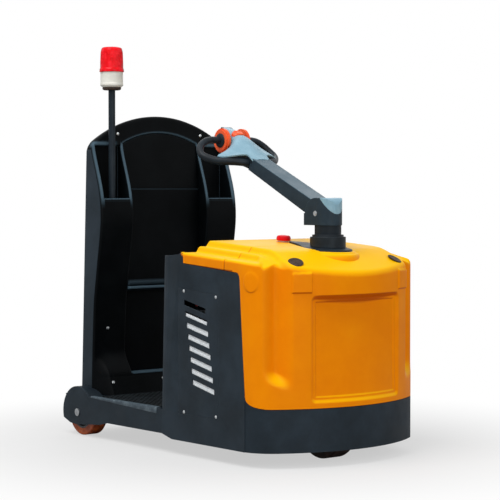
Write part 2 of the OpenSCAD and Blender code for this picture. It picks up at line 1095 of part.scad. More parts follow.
module platform_mat() {
    x0 = axle_x + mat_x0;
    x1 = bulk_x - mat_edge;
    y1 = sill_in - mat_edge;
    color("#2a2d31") {
        translate([x0, -y1, platform_z])
            cube([x1 - x0, 2 * y1, mat_t]);
        for (x = [x0 + stud_pitch / 2:stud_pitch:x1 - stud_pitch / 2])
            for (y = [-y1 + stud_pitch / 2:stud_pitch:y1 - stud_pitch / 2])
                translate([x, y, platform_z + mat_t])
                    cylinder(d = stud_d, h = stud_h, $fn = 6);
    }
}

module chassis_frame() {
    color("#2b3036") {
        difference() {
            union() {
                // Platform, bay floor and the step between them
                translate([axle_x - tail_back, -sill_in, platform_z - plate_t])
                    cube([stand_l + tail_back + bulk_t, 2 * sill_in, plate_t]);
                translate([bulk_x, -sill_in, bay_z])
                    cube([bulk_t, 2 * sill_in, platform_z - bay_z]);
                translate([bulk_x, -sill_in, bay_z])
                    cube([bay_x - bulk_x, 2 * sill_in, bay_t]);
                // Wall ahead of the battery
                translate([bay_x, -side_in, bay_z])
                    cube([wall_t, 2 * side_in, turn_plate_z - bay_z]);
                // Tail plate that carries the hitch
                translate([axle_x - tail_back, -tail_half, sill_z])
                    cube([tail_t, 2 * tail_half, tail_top_z - sill_z]);
                // Rails
                for (s = [-1, 1])
                    translate([
                        axle_x - tail_back + tail_t,
                        s * rail_y - rail_w / 2,
                        platform_z - plate_t - rail_h
                    ])
                        cube([stand_l + tail_back - tail_t, rail_w, rail_h]);
                // Wheel wells
                both_sides()
                    intersection() {
                        pin_y(axle_x, axle_z, 2 * fender_r, tyre_y - rear_w / 2 - 3 * well_t, sill_in);
                        translate([axle_x - well_half, 0, axle_z - plate_t * 4])
                            cube([2 * well_half, half_w, 2 * fender_r]);
                    }
                // Ribs to the skirt, set back where the hood comes down
                for (s = [-1, 1])
                    for (high = [0, 1])
                        intersection() {
                            translate([bay_x + wall_t, s * rib_y - rib_t / 2, rib_low_z])
                                cube([bow_r, rib_t, (high == 1 ? turn_plate_z : skirt_z - rib_tab_gap) - rib_low_z]);
                            linear_extrude(hood_z)
                                nose_plan(bay_x, high == 1 ? recess_deep + 2 * hood_t : plate_t);
                        }
            }
            for (s = [-1, 1])
                translate([
                    axle_x - tail_back + tail_t,
                    s * rail_y - rail_w / 2 + rail_t,
                    platform_z - plate_t - rail_h + rail_t
                ])
                    cube([stand_l + tail_back - tail_t, rail_w - 2 * rail_t, rail_h - 2 * rail_t]);
            both_sides() {
                pin_y(axle_x, axle_z, 2 * (fender_r - well_t), tyre_y - rear_w / 2 - 2 * well_t, half_w);
                translate([axle_x - fender_r + well_t, tyre_y - rear_w / 2 - 2 * well_t, 0])
                    cube([2 * (fender_r - well_t), rear_w + 2 * rear_in, axle_z]);
                pin_y(axle_x, axle_z, axle_d, tyre_y - rear_w - rear_in, half_w);
            }
        }
        // Plate that holds the slewing ring
        translate([0, 0, turn_plate_z])
            linear_extrude(turn_plate_t)
                difference() {
                    intersection() {
                        nose_plan(bay_x, turn_plate_in);
                        translate([bay_x, -overall_w])
                            square([bow_r, 2 * overall_w]);
                    }
                    translate([steer_x, 0])
                        circle(d = turn_d + 2 * turn_hole_gap);
                }
        // Brackets beside the battery; the right one carries the controller
        for (s = [-1, 1])
            translate([bracket_x0, s * bracket_y - bracket_t / 2, bay_z + bay_t])
                cube([bay_x - bracket_x0, bracket_t, bracket_top_z - bay_z - bay_t]);
        // Posts under the joint of the hood sections
        for (s = [-1, 1])
            difference() {
                translate([seam_x - post_l / 2, s * post_y - post_w / 2, turn_plate_z])
                    cube([post_l, post_w, hood_z - turn_plate_z]);
                on_hood(seam_x)
                    translate([-post_l, s * post_y - post_w, -hood_t])
                        cube([2 * post_l, 2 * post_w, hood_z]);
            }
    }
}

module pole_shape() {
    cylinder(d = flange_d, h = flange_h);
    cylinder(d = pole_d, h = pole_z - pocket_floor_z);
}

module beacon_pole() {
    color("#33383e")
        translate([pole_x, -pole_y, pocket_floor_z])
            pole_shape();
}

module beacon_base() {
    neck_h = beacon_h * beacon_neck_share;
    base_h = beacon_h * beacon_base_share;
    color("#e4e4dc")
        translate([pole_x, -pole_y, pole_z])
            rotate_extrude()
                polygon([
                    [0, 0],
                    [pole_d / 2 + lens_t, 0],
                    [pole_d / 2 + 2 * lens_t, neck_h],
                    [beacon_d / 2 - 4 * lens_t, neck_h],
                    [beacon_d / 2 - lens_t, neck_h + 2 * lens_t],
                    [beacon_d / 2 - lens_t, base_h],
                    [0, base_h]
                ]);
}

module beacon_lens() {
    base_h = beacon_h * beacon_base_share;
    rim_h = beacon_h * beacon_flange_share;
    r = beacon_d / 2;
    color("#d8122a")
        translate([pole_x, -pole_y, pole_z + base_h])
            rotate_extrude()
                polygon(concat(
                    [[r, 0], [r, rim_h], [r - 2 * lens_t, rim_h]],
                    arc(r - 7 * lens_t, beacon_h - base_h - 4 * lens_t, 4 * lens_t, 4 * lens_t, 0, 90, 8),
                    [[0, beacon_h - base_h], [0, beacon_h - base_h - lens_t]],
                    arc(r - 7 * lens_t, beacon_h - base_h - 4 * lens_t, 3 * lens_t, 3 * lens_t, 90, 0, 8),
                    [[r - 3 * lens_t, 0]]
                ));
}

module beacon_bulb() {
    color("#f2ead0")
        translate([pole_x, -pole_y, pole_z + beacon_h * beacon_base_share]) {
            cylinder(d = bulb_foot_d, h = bulb_foot_h);
            cylinder(d = bulb_d, h = bulb_h);
            translate([0, 0, bulb_h])
                sphere(d = bulb_d);
        }
}

// Half dish that turns round the bulb
module beacon_reflector() {
    color("#d5d8dc")
        translate([pole_x, -pole_y, pole_z + beacon_h * beacon_base_share]) {
            difference() {
                cylinder(r = dish_r, h = dish_ring_h);
                cylinder(d = bulb_foot_d + 2 * run_gap, h = dish_ring_h);
            }
            intersection() {
                difference() {
                    cylinder(r = dish_r, h = dish_h);
                    cylinder(r = dish_r - dish_t, h = dish_h);
                }
                translate([0, -dish_r, 0])
                    cube([dish_r, 2 * dish_r, dish_h]);
            }
        }
}

module hitch_plate() {
    x = axle_x - tail_back - hitch_plate_t;
    color("#2b3036")
        difference() {
            translate([x, -hitch_plate_w / 2, hitch_plate_low])
                cube([hitch_plate_t, hitch_plate_w, hitch_plate_top - hitch_plate_low]);
            for (y = [-1, 1])
                for (z = [0, 1])
                    translate([x, y * hole_across / 2, hitch_plate_top - hole_top - z * hole_up])
                        rotate([0, 90, 0])
                            cylinder(d = hole_d, h = hitch_plate_t);
        }
}

module hitch_jaw() {
    x1 = axle_x - tail_back - hitch_plate_t;
    color("#34383d")
        difference() {
            union() {
                translate([x1 - jaw_back_t, -jaw_half, hitch_z - hitch_open / 2 - jaw_t])
                    cube([jaw_back_t, 2 * jaw_half, hitch_open + 2 * jaw_t]);
                for (z = [hitch_z - hitch_open / 2 - jaw_t, hitch_z + hitch_open / 2])
                    translate([0, 0, z])
                        linear_extrude(jaw_t)
                            union() {
                                translate([hitch_x + jaw_half, -jaw_half])
                                    square([x1 - hitch_x - jaw_half, 2 * jaw_half]);
                                translate([hitch_x + jaw_half, 0])
                                    circle(r = jaw_half);
                            }
            }
            translate([hitch_x + pin_back, 0, 0])
                cylinder(d = pin_d + 2 * run_gap, h = hitch_z * 2);
            translate([x1, -overall_w, 0])
                cube([overall_w, 2 * overall_w, overall_w]);
        }
}

module hitch_pin() {
    top_z = hitch_z + hitch_open / 2 + jaw_t;
    low_z = hitch_z - hitch_open / 2 - jaw_t;
    color("#b9bcc0")
        translate([hitch_x + pin_back, 0, 0]) {
            translate([0, 0, low_z])
                cylinder(d = pin_d, h = top_z - low_z);
            translate([0, 0, top_z])
                cylinder(d = pin_d + pin_over, h = pin_head_h);
            translate([0, 0, top_z + pin_head_h + pin_ring_r])
                rotate([90, 0, 0])
                    rotate_extrude()
                        translate([pin_ring_r - pin_wire / 2, 0])
                            circle(d = pin_wire * 2);
        }
}

module battery() {
    z0 = bay_z + bay_t;
    color("#3a3f45") {
        translate([battery_x0, -battery_half, z0])
            cube([battery_x1 - battery_x0, 2 * battery_half, battery_top - z0 - battery_lid_h]);
        translate([battery_x0 + battery_lid_gap, -battery_half + battery_lid_gap, battery_top - battery_lid_h])
            cube([
                battery_x1 - battery_x0 - 2 * battery_lid_gap,
                2 * (battery_half - battery_lid_gap),
                battery_lid_h
            ]);
        for (i = [0, 1])
            translate([cable_x + i * cable_step, -cable_y, battery_top])
                cylinder(d = battery_post_d, h = battery_post_h);
    }
}

module heat_sink() {
    y0 = -(side_in - sink_gap - fin_h);
    color("#cfd8df") {
        translate([sink_x0, y0, sink_z0])
            cube([sink_x1 - sink_x0, sink_t, sink_z1 - sink_z0]);
        for (x = [sink_x0:fin_pitch:sink_x1 - fin_t])
            translate([x, y0 - fin_h, sink_z0])
                cube([fin_t, fin_h, sink_z1 - sink_z0]);
    }
}

module motor_controller() {
    y0 = -(side_in - sink_gap - fin_h) + sink_t;
    color("#1d2126") {
        translate([sink_x0, y0, sink_z0])
            cube([sink_x1 - sink_x0, -bracket_y - bracket_t / 2 - y0, sink_z1 - sink_z0]);
        for (i = [0, 1])
            translate([cable_x + i * cable_step, -(cable_y + cable_arc() * 2), sink_z1])
                cylinder(d = battery_post_d, h = battery_post_h / 2);
        // Main contactor
        translate([sink_x1 - contactor_l, -(cable_y + cable_arc() * 2) - contactor_w / 2, sink_z1])
            cube([contactor_l, contactor_w, contactor_h]);
    }
}

function cable_arc() = (side_in - sink_gap - fin_h - sink_t + bracket_y + bracket_t / 2) / 4 - cable_y / 2;

module power_cables() {
    z0 = battery_top + battery_post_h;
    z1 = sink_z1 + battery_post_h / 2;
    color("#c8371e")
        for (i = [0, 1])
            translate([cable_x + i * cable_step, -cable_y, z0]) {
                cylinder(r = cable_r, h = z1 - z0);
                translate([0, -cable_arc(), z1 - z0])
                    rotate([90, 0, 90])
                        rotate_extrude(angle = 180)
                            translate([cable_arc(), 0])
                                circle(r = cable_r);
            }
}

module horn() {
    color("#1b1e22") {
        pin_y(horn_body_x, horn_body_z, horn_body_d, rib_y + rib_t / 2, rib_y + rib_t / 2 + horn_body_t);
        pin_y(horn_body_x, horn_body_z, horn_body_d / 2, rib_y + rib_t / 2, rib_y + rib_t / 2 + horn_body_t * 3 / 2);
    }
}

// Sloping shelf and riser in front of the driver
module dash_panel() {
    lean_x = tan(bulk_lean) * (cabinet_z - platform_z);
    x0 = bulk_x + lean_x;
    riser_y = half_w * step_half_shares[3] - hood_t;
    color("#202429")
        difference() {
            union() {
                intersection() {
                    slab(-side_in + free_gap, side_in - free_gap)
                        polygon([
                            [x0, cabinet_z - 2 * dash_t],
                            [x0, cabinet_z - dash_t],
                            [dash_x - dash_t, dash_front_z - dash_t],
                            [dash_x - dash_t, dash_front_z - 2 * dash_t]
                        ]);
                    translate([bulk_x, 0, platform_z])
                        rotate([0, bulk_lean, 0])
                            linear_extrude(cabinet_z)
                                bulk_plan(bulk_t + free_gap);
                }
                slab(-riser_y, riser_y)
                    polygon([
                        [dash_x - 2 * dash_t, dash_front_z - 2 * dash_t],
                        [dash_x - 2 * dash_t, hood_z - 2 * dash_t],
                        [dash_x - dash_t / 2, hood_z - dash_t],
                        [dash_x - dash_t / 2, dash_front_z - 2 * dash_t]
                    ]);
            }
            translate([bulk_x + lock_x, lock_y, 0])
                cylinder(d = lock_d, h = back_z);
        }
}

module display() {
    color("#101418")
        translate([dash_x - 2 * dash_t - display_t, display_y - display_w / 2, dash_front_z - dash_t + free_gap])
            cube([display_t, display_w, hood_z - dash_front_z - dash_t]);
}

module key_lock() {
    color("#9da2a8")
        translate([bulk_x + lock_x, lock_y, cabinet_z - lock_h])
            difference() {
                cylinder(d = lock_d, h = lock_h + dash_t);
                translate([0, 0, lock_h / 2])
                    cylinder(d = key_d / 2 + 2 * run_gap, h = lock_h + dash_t);
            }
}

module key() {
    color("#c7c9cc")
        translate([bulk_x + lock_x, lock_y, cabinet_z - lock_h / 2]) {
            cylinder(d = key_d / 2, h = lock_h / 2 + dash_t + free_gap);
            translate([-key_d / 2, -key_t / 2, lock_h / 2 + dash_t + free_gap])
                cube([key_d, key_t, key_h]);
        }
}

module rear_axles() {
    color("#a9adb2")
        both_sides() {
            pin_y(axle_x, axle_z, axle_d, tyre_y - rear_w / 2 - 3 * well_t, sill_out);
            pin_y(axle_x, axle_z, axle_d + screw_h * 2, sill_out, sill_out + screw_h);
        }
}

// One rear hub on the left side
module rear_hub() {
    color("#8d9196")
        difference() {
            union() {
                pin_y(axle_x, axle_z, rear_d - 2 * tyre_t, tyre_y - rear_w / 2, tyre_y + rear_w / 2);
                pin_y(axle_x, axle_z, axle_d * 2, tyre_y - rear_w / 2 - well_t, tyre_y + rear_w / 2 + well_t);
            }
            pin_y(axle_x, axle_z, axle_d + 2 * run_gap, tyre_y - rear_w, tyre_y + rear_w);
            for (s = [-1, 1])
                difference() {
                    pin_y(
                        axle_x, axle_z, rear_d - 2 * tyre_t - 4 * well_t,
                        tyre_y + s * rear_w / 2 - well_t * 3,
                        tyre_y + s * rear_w / 2 + well_t * 3
                    );
                    pin_y(axle_x, axle_z, axle_d * 2, tyre_y - rear_w, tyre_y + rear_w);
                }
        }
}

module rear_tyre() {
    color("#a04a22")
        translate([axle_x, tyre_y, axle_z])
            rotate([90, 0, 0])
                tyre(rear_d, rear_w);
}

// Solid tread about the Z axis with rounded shoulders
module tyre(d, w) {
    shoulder = plate_t;
    rotate_extrude()
        polygon(concat(
            [[d / 2 - tyre_t, -w / 2]],
            arc(d / 2 - shoulder, -w / 2 + shoulder, shoulder, shoulder, -90, 0, 6),
            arc(d / 2 - shoulder, w / 2 - shoulder, shoulder, shoulder, 0, 90, 6),
            [[d / 2 - tyre_t, w / 2]]
        ));
}

module right_rear_hub() {
    mirror([0, 1, 0])
        rear_hub();
}

module left_rear_hub() {
    rear_hub();
}

module right_rear_tyre() {
    mirror([0, 1, 0])
        rear_tyre();
}

module left_rear_tyre() {
    rear_tyre();
}

module stop_switch() {
    color("#e0b400")
        on_hood(steer_x - stop_back)
            difference() {
                union() {
                    translate([0, 0, -stop_body_h])
                        cylinder(d = stop_body_d - 2 * free_gap, h = stop_body_h);
                    cylinder(d = stop_base_d, h = stop_base_h);
                }
                translate([0, 0, -stop_body_h / 2])
                    cylinder(d = stop_stem_d + 2 * run_gap, h = stop_body_h);
            }
}

module stop_button() {
    rise = stop_base_h + stop_travel + free_gap;
    color("#dd1426")
        on_hood(steer_x - stop_back) {
            translate([0, 0, -stop_body_h / 2 + stop_travel + free_gap])
                cylinder(d = stop_stem_d, h = stop_body_h / 2 - stop_travel - free_gap + rise);
            translate([0, 0, rise])
                rotate_extrude()
                    polygon([
                        [0, 0],
                        [stop_d / 2 - plate_t, 0],
                        [stop_d / 2, stop_rim_h],
                        [stop_d / 2 - plate_t / 2, stop_h - plate_t / 2],
                        [stop_d / 2 - plate_t, stop_h],
                        [0, stop_h + plate_t / 3]
                    ]);
        }
}

module slewing_ring() {
    color("#7b8087")
        translate([steer_x, 0, turn_plate_z - ring_h])
            difference() {
                cylinder(d = turn_d + 2 * ring_w, h = ring_h);
                cylinder(d = turn_d + 2 * run_gap, h = ring_h);
            }
}

module turntable() {
    color("#8b9096")
        translate([steer_x, 0, turn_z])
            difference() {
                cylinder(d = turn_d, h = turn_h);
                cylinder(r = turn_bore, h = turn_h);
            }
}

module gearbox() {
    y0 = drive_w / 2 + gear_gap;
    color("#4b5056")
        translate([steer_x, 0, 0])
            difference() {
                union() {
                    translate([0, 0, turn_z - gear_top_t])
                        cylinder(r = gear_top_r, h = gear_top_t);
                    slab(y0, y0 + gear_w)
                        union() {
                            translate([0, drive_z])
                                circle(r = gear_r);
                            translate([-gear_r, drive_z])
                                square([2 * gear_r, turn_z - drive_z - gear_top_t / 2]);
                        }
                }
                pin_y(0, drive_z, shaft_d + 2 * run_gap, y0 - over, y0 + shaft_l);
            }
}

module traction_motor() {
    color("#5a6067")
        translate([steer_x, 0, turn_z + turn_h]) {
            cylinder(r = motor_r - motor_rib_t, h = motor_h);
            for (i = [0:motor_ribs - 1])
                translate([0, 0, motor_h * (i + 1) / (motor_ribs + 1)])
                    cylinder(r = motor_r, h = 2 * motor_rib_t);
        }
}

module motor_brake() {
    color("#24282d")
        translate([steer_x, 0, turn_z + turn_h + motor_h])
            cylinder(r = brake_r, h = brake_h);
}

module steering_column() {
    z0 = turn_z + turn_h;
    color("#14171a")
        translate([steer_x, 0, 0])
            difference() {
                union() {
                    for (s = [-1, 1])
                        translate([s > 0 ? leg_out - leg_t : -leg_out, -leg_w / 2, z0])
                            cube([leg_t, leg_w, leg_top_z - z0 + beam_t / 2]);
                    translate([-leg_out, -leg_w / 2, leg_top_z])
                        cube([2 * leg_out, leg_w, beam_t]);
                    translate([0, 0, leg_top_z])
                        cylinder(d = neck_d, h = yoke_low_z - leg_top_z);
                }
                translate([0, 0, leg_top_z + beam_t])
                    cylinder(d = neck_d - 2 * neck_wall, h = yoke_low_z);
            }
}

// Outer form of the yoke and its cap
module yoke_form() {
    intersection() {
        slab(-yoke_r, yoke_r)
            union() {
                translate([pivot_x, pivot_z])
                    circle(r = ear_r);
                translate([steer_x - yoke_back, yoke_low_z])
                    square([yoke_back, pivot_z - yoke_low_z + yoke_block_top]);
                translate([pivot_x, yoke_low_z])
                    square([steer_x + yoke_r - cap_r - pivot_x, pivot_z + ear_r - yoke_low_z]);
                translate([steer_x + yoke_r - cap_r, pivot_z + ear_r - cap_r])
                    circle(r = cap_r);
                translate([pivot_x, yoke_low_z])
                    square([steer_x + yoke_r - pivot_x, pivot_z + ear_r - cap_r - yoke_low_z]);
            }
        translate([0, 0, yoke_low_z])
            linear_extrude(2 * ear_r)
                union() {
                    translate([steer_x, 0])
                        circle(r = yoke_r);
                    translate([steer_x - yoke_back, -yoke_r + free_gap])
                        square([yoke_back, 2 * (yoke_r - free_gap)]);
                }
    }
}

// Space in front of the slanted joint between yoke and cap
module cap_space() {
    slab(-overall_w, overall_w)
        polygon([
            [steer_x + cap_top, pivot_z + ear_r * 2],
            [steer_x + cap_top, pivot_z + ear_r - plate_t / 2],
            [steer_x + yoke_r, pivot_z + cap_low],
            [steer_x + yoke_r * 2, pivot_z + cap_low],
            [steer_x + yoke_r * 2, pivot_z + ear_r * 2]
        ]);
}

module arm_slot() {
    half = arm_w / 2 + free_gap;
    translate([steer_x - 2 * yoke_back, -half, yoke_low_z + yoke_floor])
        cube([2 * yoke_back - pivot_back, 2 * half, 2 * ear_r]);
    slab(-half, half)
        translate([pivot_x, pivot_z]) {
            circle(r = root_r + root_gap);
            // Room for the arm at its highest
            rotate(-tilt - arm_up)
                polygon([
                    [0, -arm_half],
                    [0, arm_half + arm_shift + root_gap],
                    [-2 * ear_r, arm_half + arm_shift + root_gap],
                    [-2 * ear_r, -arm_half]
                ]);
        }
}

module steering_yoke() {
    color("#262c32")
        difference() {
            yoke_form();
            cap_space();
            arm_slot();
            pin_y(pivot_x, pivot_z, 2 * pin_r, -half_w, half_w);
        }
}

module yoke_cap() {
    color("#8fb0c2")
        difference() {
            intersection() {
                yoke_form();
                cap_space();
            }
            arm_slot();
        }
}

// Pin through both ears of the yoke
module pivot_pin() {
    color("#9da1a6") {
        pin_y(pivot_x, pivot_z, 2 * pin_r, -yoke_r, yoke_r);
        both_sides()
            pin_y(pivot_x, pivot_z, pin_head_d, yoke_r, yoke_r + pin_head_h2);
    }
}

module drive_hub() {
    y0 = drive_w / 2;
    r = drive_z - tyre_t;
    color("#7c8187")
        translate([steer_x, 0, 0])
            difference() {
                union() {
                    pin_y(0, drive_z, 2 * r, -y0, y0);
                    pin_y(0, drive_z, shaft_d, 0, y0 + shaft_l);
                }
                both_sides()
                    difference() {
                        pin_y(0, drive_z, 2 * (r - drive_rim_t), drive_web_t / 2, drive_w);
                        pin_y(0, drive_z, shaft_d, -over, drive_w * 2);
                    }
            }
}

module drive_tyre() {
    color("#4a2c1e")
        translate([steer_x, 0, drive_z])
            rotate([90, 0, 0])
                tyre(drive_d, drive_w);
}

// Places a part in the arm's own frame: -X along the arm, Z above it
module on_arm() {
    translate([pivot_x, 0, pivot_z])
        rotate([0, tilt, 0])
            children();
}

module tiller_arm() {
    color("#323c46")
        on_arm()
            difference() {
                slab(-arm_w / 2, arm_w / 2)
                    union() {
                        circle(r = root_r);
                        polygon([
                            [0, arm_half + arm_shift],
                            [-arm_l, arm_end_half + arm_shift],
                            [-arm_l, -arm_end_half + arm_shift],
                            [-root_r, -arm_half + arm_shift],
                            [0, -arm_half + arm_shift]
                        ]);
                    }
                pin_y(0, 0, 2 * (pin_r + run_gap), -half_w, half_w);
                slab(-arm_w / 2 + arm_wall, arm_w / 2 - arm_wall)
                    polygon([
                        [-2 * root_r, arm_half + arm_shift - 2 * arm_wall],
                        [-arm_l - over, arm_end_half + arm_shift - 2 * arm_wall],
                        [-arm_l - over, -arm_end_half + arm_shift + 2 * arm_wall],
                        [-2 * root_r, -arm_half + arm_shift + 2 * arm_wall]
                    ]);
            }
}

// Light shell of the steering head
module head_shell() {
    color("#93b1c1")
        on_arm()
            difference() {
                union() {
                    hull() {
                        block(arm_l, head_low, head_w, -arm_end_half, arm_end_half + 2 * arm_shift);
                        block(thumb_u - thumb_d / 2 - head_low - arm_wall, head_low, head_mid_w, -head_low, head_top);
                    }
                    hull() {
                        block(thumb_u - thumb_d, head_low, 2 * thumb_in, -head_low, head_top);
                        block(head_end - head_low, head_low, head_nose_w, head_low / 2, head_nose_top);
                    }
                    hull() {
                        block(wing_u, wing_l, wing_w, -wing_t, 0);
                        block(arm_l + 2 * head_low, wing_root_l, head_mid_w, -wing_t, wing_root_top);
                    }
                }
                pin_y(-thumb_u, thumb_v, bar_d, -half_w, half_w);
                loops_form(loop_r + free_gap);
                belly_form(head_end, free_gap);
                translate([-horn_u, 0, head_top - horn_h - horn_travel - free_gap])
                    cylinder(d = horn_d + 2 * free_gap, h = head_top);
            }
}

// Button on the driver's end of the head, grown by g, with its face at u
module belly_form(u, g) {
    translate([-u, -belly_w / 2 - g, (head_nose_top + head_low / 2 - belly_high) / 2 - g])
        cube([belly_h, belly_w + 2 * g, belly_high + 2 * g]);
}

module block(u, l, w, v0, v1) {
    translate([-u - l, -w / 2, v0])
        cube([l, w, v1 - v0]);
}

// Tube swept along a path of points, with flat ends
module tube(path, r, n) {
    count = len(path);
    function dir(i) =
        let (a = path[max(i - 1, 0)], b = path[min(i + 1, count - 1)])
        (b - a) / norm(b - a);
    function side(i) = let (c = cross(dir(i), [0, 0, 1])) c / norm(c);
    function ring(i) =
        let (d = dir(i), s = side(i), t = cross(s, d))
        [for (k = [0:n - 1]) path[i] + r * (cos(360 * k / n) * s + sin(360 * k / n) * t)];
    points = [for (i = [0:count - 1]) each ring(i)];
    sides = [
        for (i = [0:count - 2]) for (k = [0:n - 1]) for (half = [0, 1])
            let (a = i * n + k, b = i * n + (k + 1) % n)
            half == 0 ? [a, b, b + n] : [a, b + n, a + n]
    ];
    first = [for (k = [1:n - 2]) [0, k + 1, k]];
    last = [for (k = [1:n - 2]) [(count - 1) * n, (count - 1) * n + k, (count - 1) * n + k + 1]];
    polyhedron(points, concat(sides, first, last));
}

module loops_form(r) {
    for (s = [-1, 1])
        tube([for (p = loop_path) [-p[0], s * p[2], p[1]]], r, loop_sides);
}

module hand_loops() {
    end_y = loop_path[0][2] + plate_t / 2;
    color("#121519")
        on_arm() {
            pin_y(-thumb_u, thumb_v, bar_d, -end_y, end_y);
            loops_form(loop_r);
        }
}

// Ribbed wheel that turns on the grip bar
module thumb_wheel() {
    y0 = thumb_in + thumb_gap;
    color("#ee5a2e")
        on_arm()
            difference() {
                union() {
                    pin_y(-thumb_u, thumb_v, thumb_d - 2 * thumb_lobe, y0, y0 + thumb_w);
                    pin_y(-thumb_u, thumb_v, thumb_d, y0 + free_gap, y0 + thumb_w * 2 / 3);
                }
                pin_y(-thumb_u, thumb_v, bar_d + 2 * run_gap, 0, half_w);
            }
}

module right_thumb_wheel() {
    mirror([0, 1, 0])
        thumb_wheel();
}

module left_thumb_wheel() {
    thumb_wheel();
}

module horn_button() {
    color("#20242a")
        on_arm()
            translate([-horn_u, 0, head_top - horn_h])
                cylinder(d = horn_d, h = horn_h + horn_proud);
}

// Safety button on the end of the head that faces the driver
module reverse_button() {
    color("#6d6a86")
        on_arm()
            belly_form(head_end + belly_travel, 0);
}

chassis_frame();
right_side_plate();
left_side_plate();
front_skirt();
bulkhead();
right_vent_panel();
left_vent_panel();
body_screws();
rear_hood();
front_hood();
deck_plate();
hood_plugs();
steering_collar();
backrest_shell();
back_panel();
kick_panel();
backrest_cover();
platform_mat();
beacon_pole();
beacon_base();
beacon_lens();
beacon_bulb();
beacon_reflector();
hitch_plate();
hitch_jaw();
hitch_pin();
battery();
motor_controller();
heat_sink();
power_cables();
horn();
dash_panel();
display();
key_lock();
key();
rear_axles();
right_rear_hub();
right_rear_tyre();
left_rear_hub();
left_rear_tyre();
stop_switch();
stop_button();
slewing_ring();
turntable();
gearbox();
traction_motor();
motor_brake();
steering_column();
steering_yoke();
yoke_cap();
pivot_pin();
drive_hub();
drive_tyre();
tiller_arm();
head_shell();
hand_loops();
right_thumb_wheel();
left_thumb_wheel();
horn_button();
reverse_button();
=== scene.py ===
"""Looks of an electric airport tow tractor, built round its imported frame. Lengths in the working lines are in mm."""

import json
import math

import bmesh
import bpy
import numpy as np
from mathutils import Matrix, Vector
from numpy import arange, array, clip, concatenate, cos, hypot, interp, linspace, maximum, minimum, sin, sqrt
from numpy import stack, where
from numpy.linalg import norm, svd

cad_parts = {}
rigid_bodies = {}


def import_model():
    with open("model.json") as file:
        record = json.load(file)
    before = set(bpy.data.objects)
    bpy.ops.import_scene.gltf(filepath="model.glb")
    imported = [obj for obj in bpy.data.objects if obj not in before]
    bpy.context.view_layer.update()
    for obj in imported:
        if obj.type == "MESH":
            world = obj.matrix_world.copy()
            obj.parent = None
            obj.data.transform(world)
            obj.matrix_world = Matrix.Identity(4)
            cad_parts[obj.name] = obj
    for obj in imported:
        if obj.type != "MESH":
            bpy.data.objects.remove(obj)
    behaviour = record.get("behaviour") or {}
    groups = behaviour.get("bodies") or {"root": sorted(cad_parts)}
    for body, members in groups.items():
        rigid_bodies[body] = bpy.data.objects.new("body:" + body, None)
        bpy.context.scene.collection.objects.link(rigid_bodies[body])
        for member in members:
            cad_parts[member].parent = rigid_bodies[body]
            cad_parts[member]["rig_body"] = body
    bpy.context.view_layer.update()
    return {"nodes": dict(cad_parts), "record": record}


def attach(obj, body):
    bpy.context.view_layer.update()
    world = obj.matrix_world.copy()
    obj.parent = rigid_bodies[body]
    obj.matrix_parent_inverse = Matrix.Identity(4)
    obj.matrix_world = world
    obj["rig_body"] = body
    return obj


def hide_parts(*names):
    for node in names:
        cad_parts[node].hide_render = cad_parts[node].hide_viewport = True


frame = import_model()
NODES = frame["nodes"]
MM = 0.001

# ---------------------------------------------------------------- camera, light and floor

scene = bpy.context.scene


def aimed(name, data, place, aim):
    """A new object for a camera or a lamp at a place, turned towards an aim."""
    made = bpy.data.objects.new(name, data)
    made.location = place
    made.rotation_euler = (Vector(aim) - made.location).to_track_quat("-Z", "Y").to_euler()
    scene.collection.objects.link(made)
    return made


scene.view_settings.view_transform = "Standard"
lens = bpy.data.cameras.new("eye")
lens.sensor_width = 36
lens.lens = 127.46
lens.clip_end = 60
scene.camera = aimed("eye", lens, (5.4908, -4.4024, 1.0129), (0.0679, 0.0137, 0.7658))

# name, place, aim, side of the square panel in metres, watts
LAMPS = (
    ("roof_panel", (0.6, -2.6, 5.2), (0.1, 0, 0.6), 3.6, 225),
    ("front_panel", (5.6, -1.2, 2.6), (0.2, 0, 0.6), 3, 84),
    ("far_panel", (-4.5, 3.6, 4.6), (0, 0, 0.7), 3, 45),
)
for name, place, aim, side, watts in LAMPS:
    data = bpy.data.lights.new(name, "AREA")
    data.size = side
    data.energy = watts
    aimed(name, data, place, aim)


def linear(code):
    """An sRGB hex text as linear red, green and blue, and one."""
    c = array([int(code[i : i + 2], 16) for i in (1, 3, 5)]) / 255
    c = where(c <= 0.04045, c / 12.92, ((c + 0.055) / 1.055) ** 2.4)
    return (*c.tolist(), 1)


def node(tree, kind, settings=(), links=()):
    """Adds a node, sets its properties and input values, and links its inputs to the outputs given."""
    made = tree.nodes.new(kind)
    for key, value in dict(settings).items():
        if isinstance(key, str) and key in made.bl_rna.properties:
            setattr(made, key, value)
        else:
            made.inputs[key].default_value = value
    for key, output in dict(links).items():
        tree.links.new(output, made.inputs[key])
    return made


# The studio's air: white to the eye, in gloss and through glass, and softer as a light.
world = bpy.data.worlds.new("studio")
scene.world = world
world.use_nodes = True
tree = world.node_tree
tree.nodes.clear()
path = node(tree, "ShaderNodeLightPath")
seen = path.outputs["Is Camera Ray"]
for kind in ("Is Glossy Ray", "Is Transmission Ray"):
    seen = node(tree, "ShaderNodeMath", {"operation": "MAXIMUM"}, {0: seen, 1: path.outputs[kind]}).outputs[0]
soft = node(tree, "ShaderNodeBackground", {"Color": (1, 1, 1, 1), "Strength": 0.36})
white = node(tree, "ShaderNodeBackground", {"Color": (1, 1, 1, 1)})
both = node(tree, "ShaderNodeMixShader", (), {0: seen, 1: soft.outputs[0], 2: white.outputs[0]})
node(tree, "ShaderNodeOutputWorld", (), {0: both.outputs[0]})

# ---------------------------------------------------------------- finishes

DARKEST_AT, TONES_SPAN = 0.36, 0.28  # the clouds' value at a finish's darkest tone, and from there to its palest

